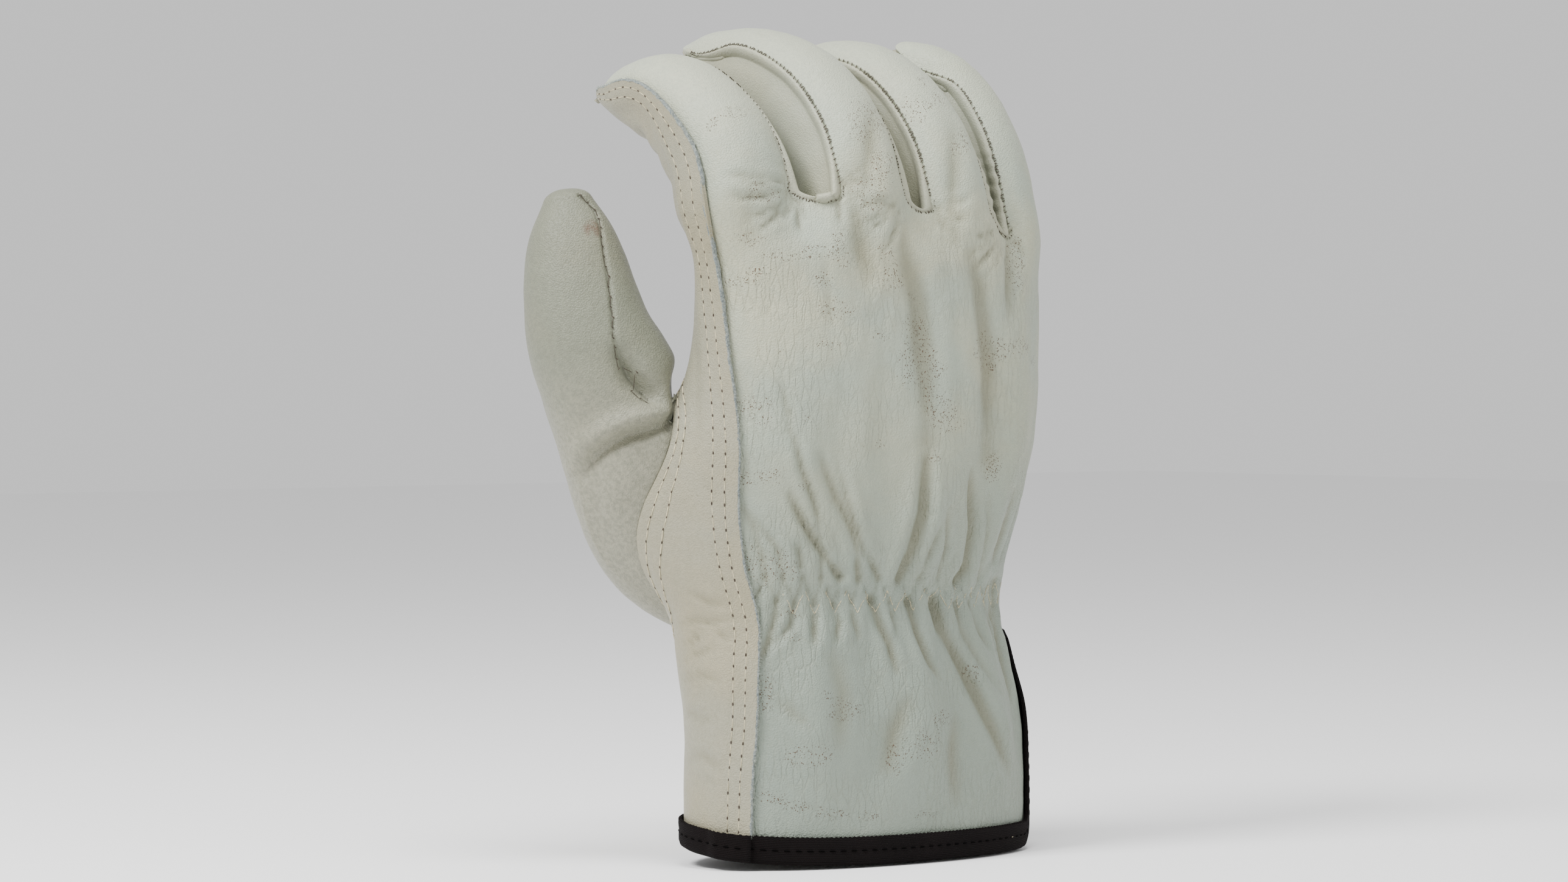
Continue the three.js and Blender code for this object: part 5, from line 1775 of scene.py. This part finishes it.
def tapeNet():
    spots = tapeSpots()
    frames = []
    run = 0
    for spot in spots:
        at = spot["at"]
        frame = {}
        for reach in {max(0, reach) for reach, _ in tapeSection(0)}:
            point = at(reach, 0)
            frame[reach] = (point, (point - at(reach, 1)).normalized())
        edge = frame[0][0]
        frame["inward"] = (at(1, 0) - edge).normalized()
        if frames:
            run += (edge - frames[-1]["edge"]).length
        frame["edge"], frame["run"] = edge, run
        frames.append(frame)
    bm = bmesh.new()
    uv = bm.loops.layers.uv.new("tapeRun")
    runAt, acrossAt = bm.verts.layers.float.new("run"), bm.verts.layers.float.new("across")
    size = len(tapeSection(0))
    levels = [0]
    for a, b in zip(tapeSection(0), tapeSection(0)[1:]):
        levels.append(levels[-1] + math.dist(a, b))

    def keepRun(vert, column, row):
        vert[runAt] = frames[column % len(frames)]["run"]
        vert[acrossAt] = levels[row % size]

    def place(column, row):
        frame, lift = frames[column % len(frames)], spots[column % len(frames)]["lift"]
        reach, height = tapeSection(lift)[row % size]
        point, out = frame[max(0, reach)]
        here = point + out * height
        if reach < 0:
            here += frame["inward"] * reach
        elif row in (0, 1, 2):
            wave = math.cos(2 * math.pi * frame["run"] / tapeCut["pitch"])
            here += frame["inward"] * tapeCut["scallop"] * wave
        return here

    layPatch(bm, range(len(spots) + 1), range(size + 1), place, mark=keepRun)
    bmesh.ops.remove_doubles(bm, verts=bm.verts, dist=1e-5)
    bmesh.ops.recalc_face_normals(bm, faces=bm.faces)
    # where a face closes the ring, its run and level go on past the last ones
    for face in bm.faces:
        runs = [vert[runAt] for vert in face.verts]
        levelsHere = [vert[acrossAt] for vert in face.verts]
        for loop in face.loops:
            wrapped = 0.3 if max(levelsHere) - min(levelsHere) > 8 and loop.vert[acrossAt] == 0 else 0
            along = loop.vert[runAt]
            if max(runs) - min(runs) > 50 and along < 50:
                along += max(runs) + 0.4
            loop[uv].uv = (along, loop.vert[acrossAt] + wrapped * levels[-1] / 0.3)
        face.smooth = True
    return bm


tapePiece = makeObject(tapeNet(), "cuffBinding", [tapeCloth])
print("binding shaped,", len(tapePiece.data.vertices), "points")


# Sewing: rows of stitches, each a few low beads laid on the leather

shirrZigzag = {"middle": -0.3, "pitch": 6.4, "half": 2.8}
# hole: size of the dark bead at each stitch hole, a painted shade
sewing = {"pitch": 3.15, "thread": (2.7, 0.28, 0.24), "hole": (0.9, 0.46, 0.3), "lapRows": (2.75, 5.5),
          "thumbRows": (2.8, 7.3), "thumbPitch": 3.3, "thumbThread": (3.0, 0.42, 0.36),
          "openingPitch": 1.55, "openingMark": (0.28, 0.26), "tapePitch": 3, "tapeMark": (1.7, 0.4, 0.24),
          "seamPitch": 2.6, "seamMark": (0.95, 0.3, 0.26), "shirrMark": (0.26, 0.24)}


def addBead(beads, spot, ahead, outward, size, material):
    side = outward.cross(ahead).normalized()
    ahead = side.cross(outward).normalized()
    axes = Matrix((ahead * size[0] * mm, side * size[1] * mm, outward * size[2] * mm)).transposed()
    beads.append((Matrix.Translation(spot) @ axes.to_4x4(), material))


def beadShape():
    bm = bmesh.new()
    turned = Matrix.Rotation(math.pi / 2, 4, "Y")
    bmesh.ops.create_uvsphere(bm, u_segments=6, v_segments=5, radius=0.5, matrix=turned)
    return bm


def fibreShape():
    bm = bmesh.new()
    bmesh.ops.create_cone(bm, segments=3, radius1=1, radius2=0.2, depth=1)
    return bm


def beadObject(placed, name, materials, shape=beadShape):
    # one mesh of many copies of a small shape
    bm = shape()
    corners = [vert.co.copy() for vert in bm.verts]
    faces = [[vert.index for vert in face.verts] for face in bm.faces]
    bm.free()
    verts, polygons, kinds = [], [], []
    for matrix, material in placed:
        start = len(verts)
        verts += [matrix @ corner for corner in corners]
        polygons += [[start + number for number in face] for face in faces]
        kinds += [material] * len(faces)
    mesh = bpy.data.meshes.new(name)
    mesh.from_pydata(verts, [], polygons)
    mesh.polygons.foreach_set("use_smooth", [True] * len(polygons))
    mesh.polygons.foreach_set("material_index", kinds)
    return furnished(mesh, name, materials)


def onSurface(surface, points):
    # points in millimetres laid on a surface, each with the way out of it
    placed = []
    for point in points:
        spot, normal, _, away = surface.find_nearest(point * mm)
        if away < 0.004:
            placed.append((spot, normal))
    return placed


def sewRow(beads, line, surface, pitch, thread, threadMaterial, holeShadeMaterial, lift=0.02):
    spots = onSurface(surface, evenLine(line, pitch))
    for (a, out), (b, _) in zip(spots, spots[1:]):
        ahead = b - a
        if ahead.length > pitch * 1.6 * mm:
            continue
        middle = surface.find_nearest((a + b) / 2)
        jitter = Vector([random.uniform(-0.07, 0.07) * mm for _ in range(3)])
        addBead(beads, middle[0] + middle[1] * lift * mm + jitter, ahead, middle[1], thread, threadMaterial)
        # a dark bead at the stitch hole: painted shade of the hole
        addBead(beads, a + jitter, ahead, out, sewing["hole"], holeShadeMaterial)


def pitchOf(a, b):
    return (b - a).length / mm


def thumbLine(distance):
    # a line round the thumb, so far from the hole's edge
    line = []
    for step in range(129):
        cell = ringCell(step / 128)
        start, size = None, 1
        while size < 1.9:
            here = roundHole(cell, size)
            start = start or here
            if (here - start).length >= distance:
                break
            size += 0.02
        line.append(here)
    return line


seamLines = [lapLine(distance) for distance in sewing["lapRows"]]
seamLines += [thumbLine(distance) for distance in sewing["thumbRows"]]
seamTree = nearTo([point * mm for line in seamLines for point in evenLine(line, 0.7)])


def seamGroove(point):
    away = seamTree.find(point * mm)[2] / mm
    return -0.25 * math.exp(-((away / 0.8) ** 2))


sculpt(palmPiece, seamGroove)
palmSurface = surfaceOf(palmPiece)
threadSet = [creamThread, darkThreadAndShade]
beads = []
for line in seamLines[:2]:
    sewRow(beads, line, palmSurface, sewing["pitch"], sewing["thread"], 0, 1)
for line in seamLines[2:]:
    sewRow(beads, line, palmSurface, sewing["thumbPitch"], sewing["thumbThread"], 0, 1, 0.08)
palmThread = beadObject(beads, "palmStitches", threadSet)

beads = []
backSurface = surfaceOf(backPiece)
for number, seam in enumerate(openingSeams):
    strip, panel = surfaceOf(stripPieces[number // 2][0]), palmSurface if number % 2 else backSurface
    marks = evenLine([spot[0] for spot in seam], sewing["openingPitch"] / 2)
    tree = nearTo([spot[0] for spot in seam])
    for step, (a, b) in enumerate(zip(marks, marks[1:])):
        spot, above, beside, low = seam[tree.find(a)[1]]
        ahead, outward, across = (way.normalized() for way in (b - a, above - spot, beside - spot))
        if step % 2 and random.random() < 0.6:
            continue
        slope = 0.3 if step % 2 else -0.5
        probe = (a + outward * 1.2 + across * mix(0.5, -1.2, low)) * mm
        near, far = panel.find_nearest(probe)[0], strip.find_nearest(probe)[0]
        if low > 0.5:
            spot, way, out, length = near.lerp(far, 0.35) - across * 0.02 * mm, outward, -across, 0.85
        else:
            spot, way, out = (near + far) / 2 + outward * 0.1 * mm, across, outward
            length = min(1.35, (far - near).length / mm + 0.5)
        addBead(beads, spot, way + ahead * slope, out, (length, *sewing["openingMark"]), 1)
openingThread = beadObject(beads, "openingStitches", threadSet)

beads = []
thumbSurface = surfaceOf(thumbPiece)
spots = onSurface(thumbSurface, evenLine([point / mm for point in thumbLines["seam"]], sewing["seamPitch"]))
for (a, out), (b, _) in zip(spots, spots[1:]):
    ahead = (b - a).normalized()
    slanted = out.cross(ahead) + ahead * random.uniform(0.5, 1.1)
    addBead(beads, a + out * 0.28 * mm, slanted, out, sewing["seamMark"], 1)
    # a thin dark strand along the seam between the stitches: painted shadow of the seam's groove
    addBead(beads, (a + b) / 2 + out * 0.05 * mm, ahead, out, (pitchOf(a, b), 0.2, 0.12), 1)
thumbThread = beadObject(beads, "thumbStitches", threadSet)

# pale zigzag stitches over the hidden elastic
beads = []
elastic = [handPoint(wristHeight + shirrZigzag["middle"], angle) for angle in range(44, 160)]
spots = evenLine(elastic, shirrZigzag["pitch"] / 2)
for number, (a, b) in enumerate(zip(spots, spots[1:])):
    half = shirrZigzag["half"] if number % 2 else -shirrZigzag["half"]
    low, high = a - Vector((0, 0, half)), b + Vector((0, 0, half))
    leg = onSurface(backSurface, evenLine([low, high], 0.95))
    for (p, out), (q, _) in zip(leg, leg[1:]):
        if random.random() < 0.16:
            continue
        size = (pitchOf(p, q) * 1.1, *sewing["shirrMark"])
        addBead(beads, (p + q) / 2 + out * 0.01 * mm, q - p, out, size, 0)
shirrThread = beadObject(beads, "shirringStitches", threadSet)
print("sewing done")


# Raw edge of the lapped seam: a rough band down its cut face, and loose fibres

rawCut = {"step": 0.45, "from": 7, "rough": 0.22, "fibres": 3200, "fibre": (0.3, 0.85), "thick": 0.04,
          "section": ((-0.1, 0.02), (0.1, 0.05), (0.28, -0.12), (0.4, -0.42), (0.38, -0.8), (0.1, -1.25))}


def rawFrames():
    line = [point for point in evenLine(lapLine(0), rawCut["step"]) if point.z > rawCut["from"]]
    inner = lapLine(1.2)
    tree = nearTo(inner)
    frames = []
    for number, point in enumerate(line):
        spot, normal, _, _ = palmSurface.find_nearest(point * mm)
        ahead = (line[min(number + 1, len(line) - 1)] - line[max(0, number - 1)]).normalized()
        side = ahead.cross(normal).normalized()
        if side.dot(point - inner[tree.find(point)[1]]) < 0:
            side.negate()
        frames.append((spot / mm, side, normal, ahead))
    return frames


def rawNet(frames):
    bm = bmesh.new()

    def place(column, row):
        spot, side, normal, _ = frames[row]
        out, up = rawCut["section"][column]
        here = spot + side * out + normal * up
        coarse, fine = (noise.noise_vector(here * scale) * rawCut["rough"] for scale in (0.35, 1.7))
        return here + (fine + coarse)

    layPatch(bm, range(len(rawCut["section"])), range(len(frames)), place)
    bmesh.ops.recalc_face_normals(bm, faces=bm.faces)
    return bm


frames = rawFrames()
rawBand = makeObject(rawNet(frames), "lapEdge", [rawEdge])
smoothed(rawBand, 1)

strands = []
for _ in range(rawCut["fibres"]):
    spot, side, normal, ahead = random.choice(frames)
    lean = random.random()
    root = spot + side * mix(0.05, 0.42, lean) + normal * mix(0.05, -0.8, lean)
    root += ahead * random.uniform(-0.25, 0.25)
    way = side * random.uniform(0.1, 1) + normal * random.uniform(0, 0.8) + ahead * random.uniform(-1, 1)
    way.normalize()
    length = random.uniform(*rawCut["fibre"])
    turn = way.to_track_quat("Z", "Y").to_matrix().to_4x4()
    shape = Matrix.Diagonal((rawCut["thick"] * mm, rawCut["thick"] * mm, length * mm, 1))
    strands.append((Matrix.Translation((root + way * length / 2) * mm) @ turn @ shape, 0))
fibres = beadObject(strands, "lapFibres", [paleFibre], fibreShape)
print("raw edge done")


# Stitches along the binding

beads = []
line = []
for spot in tapeSpots():
    point = spot["at"](tapeCut["sewn"], 0)
    out = (point - spot["at"](tapeCut["sewn"], 1)).normalized()
    line.append((point + out * (spot["lift"] + tapeCut["seat"] + 0.93), out))
tree = nearTo([point for point, _ in line])
marks = evenLine([point for point, _ in line], sewing["tapePitch"])
for a, b in zip(marks, marks[1:]):
    out = line[tree.find(a)[1]][1]
    addBead(beads, a * mm, b - a, out, sewing["tapeMark"], 1)
    if random.random() < 0.07:
        addBead(beads, (a + out * 0.1) * mm, b - a + out * 0.6, out, (0.9, 0.18, 0.16), 0)
tapeThread = beadObject(beads, "bindingStitches", [creamThread, tapeSewing])

for piece, slotName, node in ((backPiece, "grain_leather", "back_panel"),
                              (palmPiece, "palm_leather", "palm_panel"),
                              (thumbPiece, "palm_leather", "thumb")):
    thicken(piece, panelCut["hide"])
    take(piece, slotName, node)
for piece, node in stripPieces:
    thicken(piece, panelCut["stripHide"])
    take(piece, "grain_leather", node)
take(tapePiece, "binding_tape", "cuff_binding")
for piece in (palmThread, thumbThread, rawBand, fibres):
    take(piece, "palm_leather")
for piece in (openingThread, shirrThread):
    take(piece, "grain_leather")
take(tapeThread, "binding_tape")
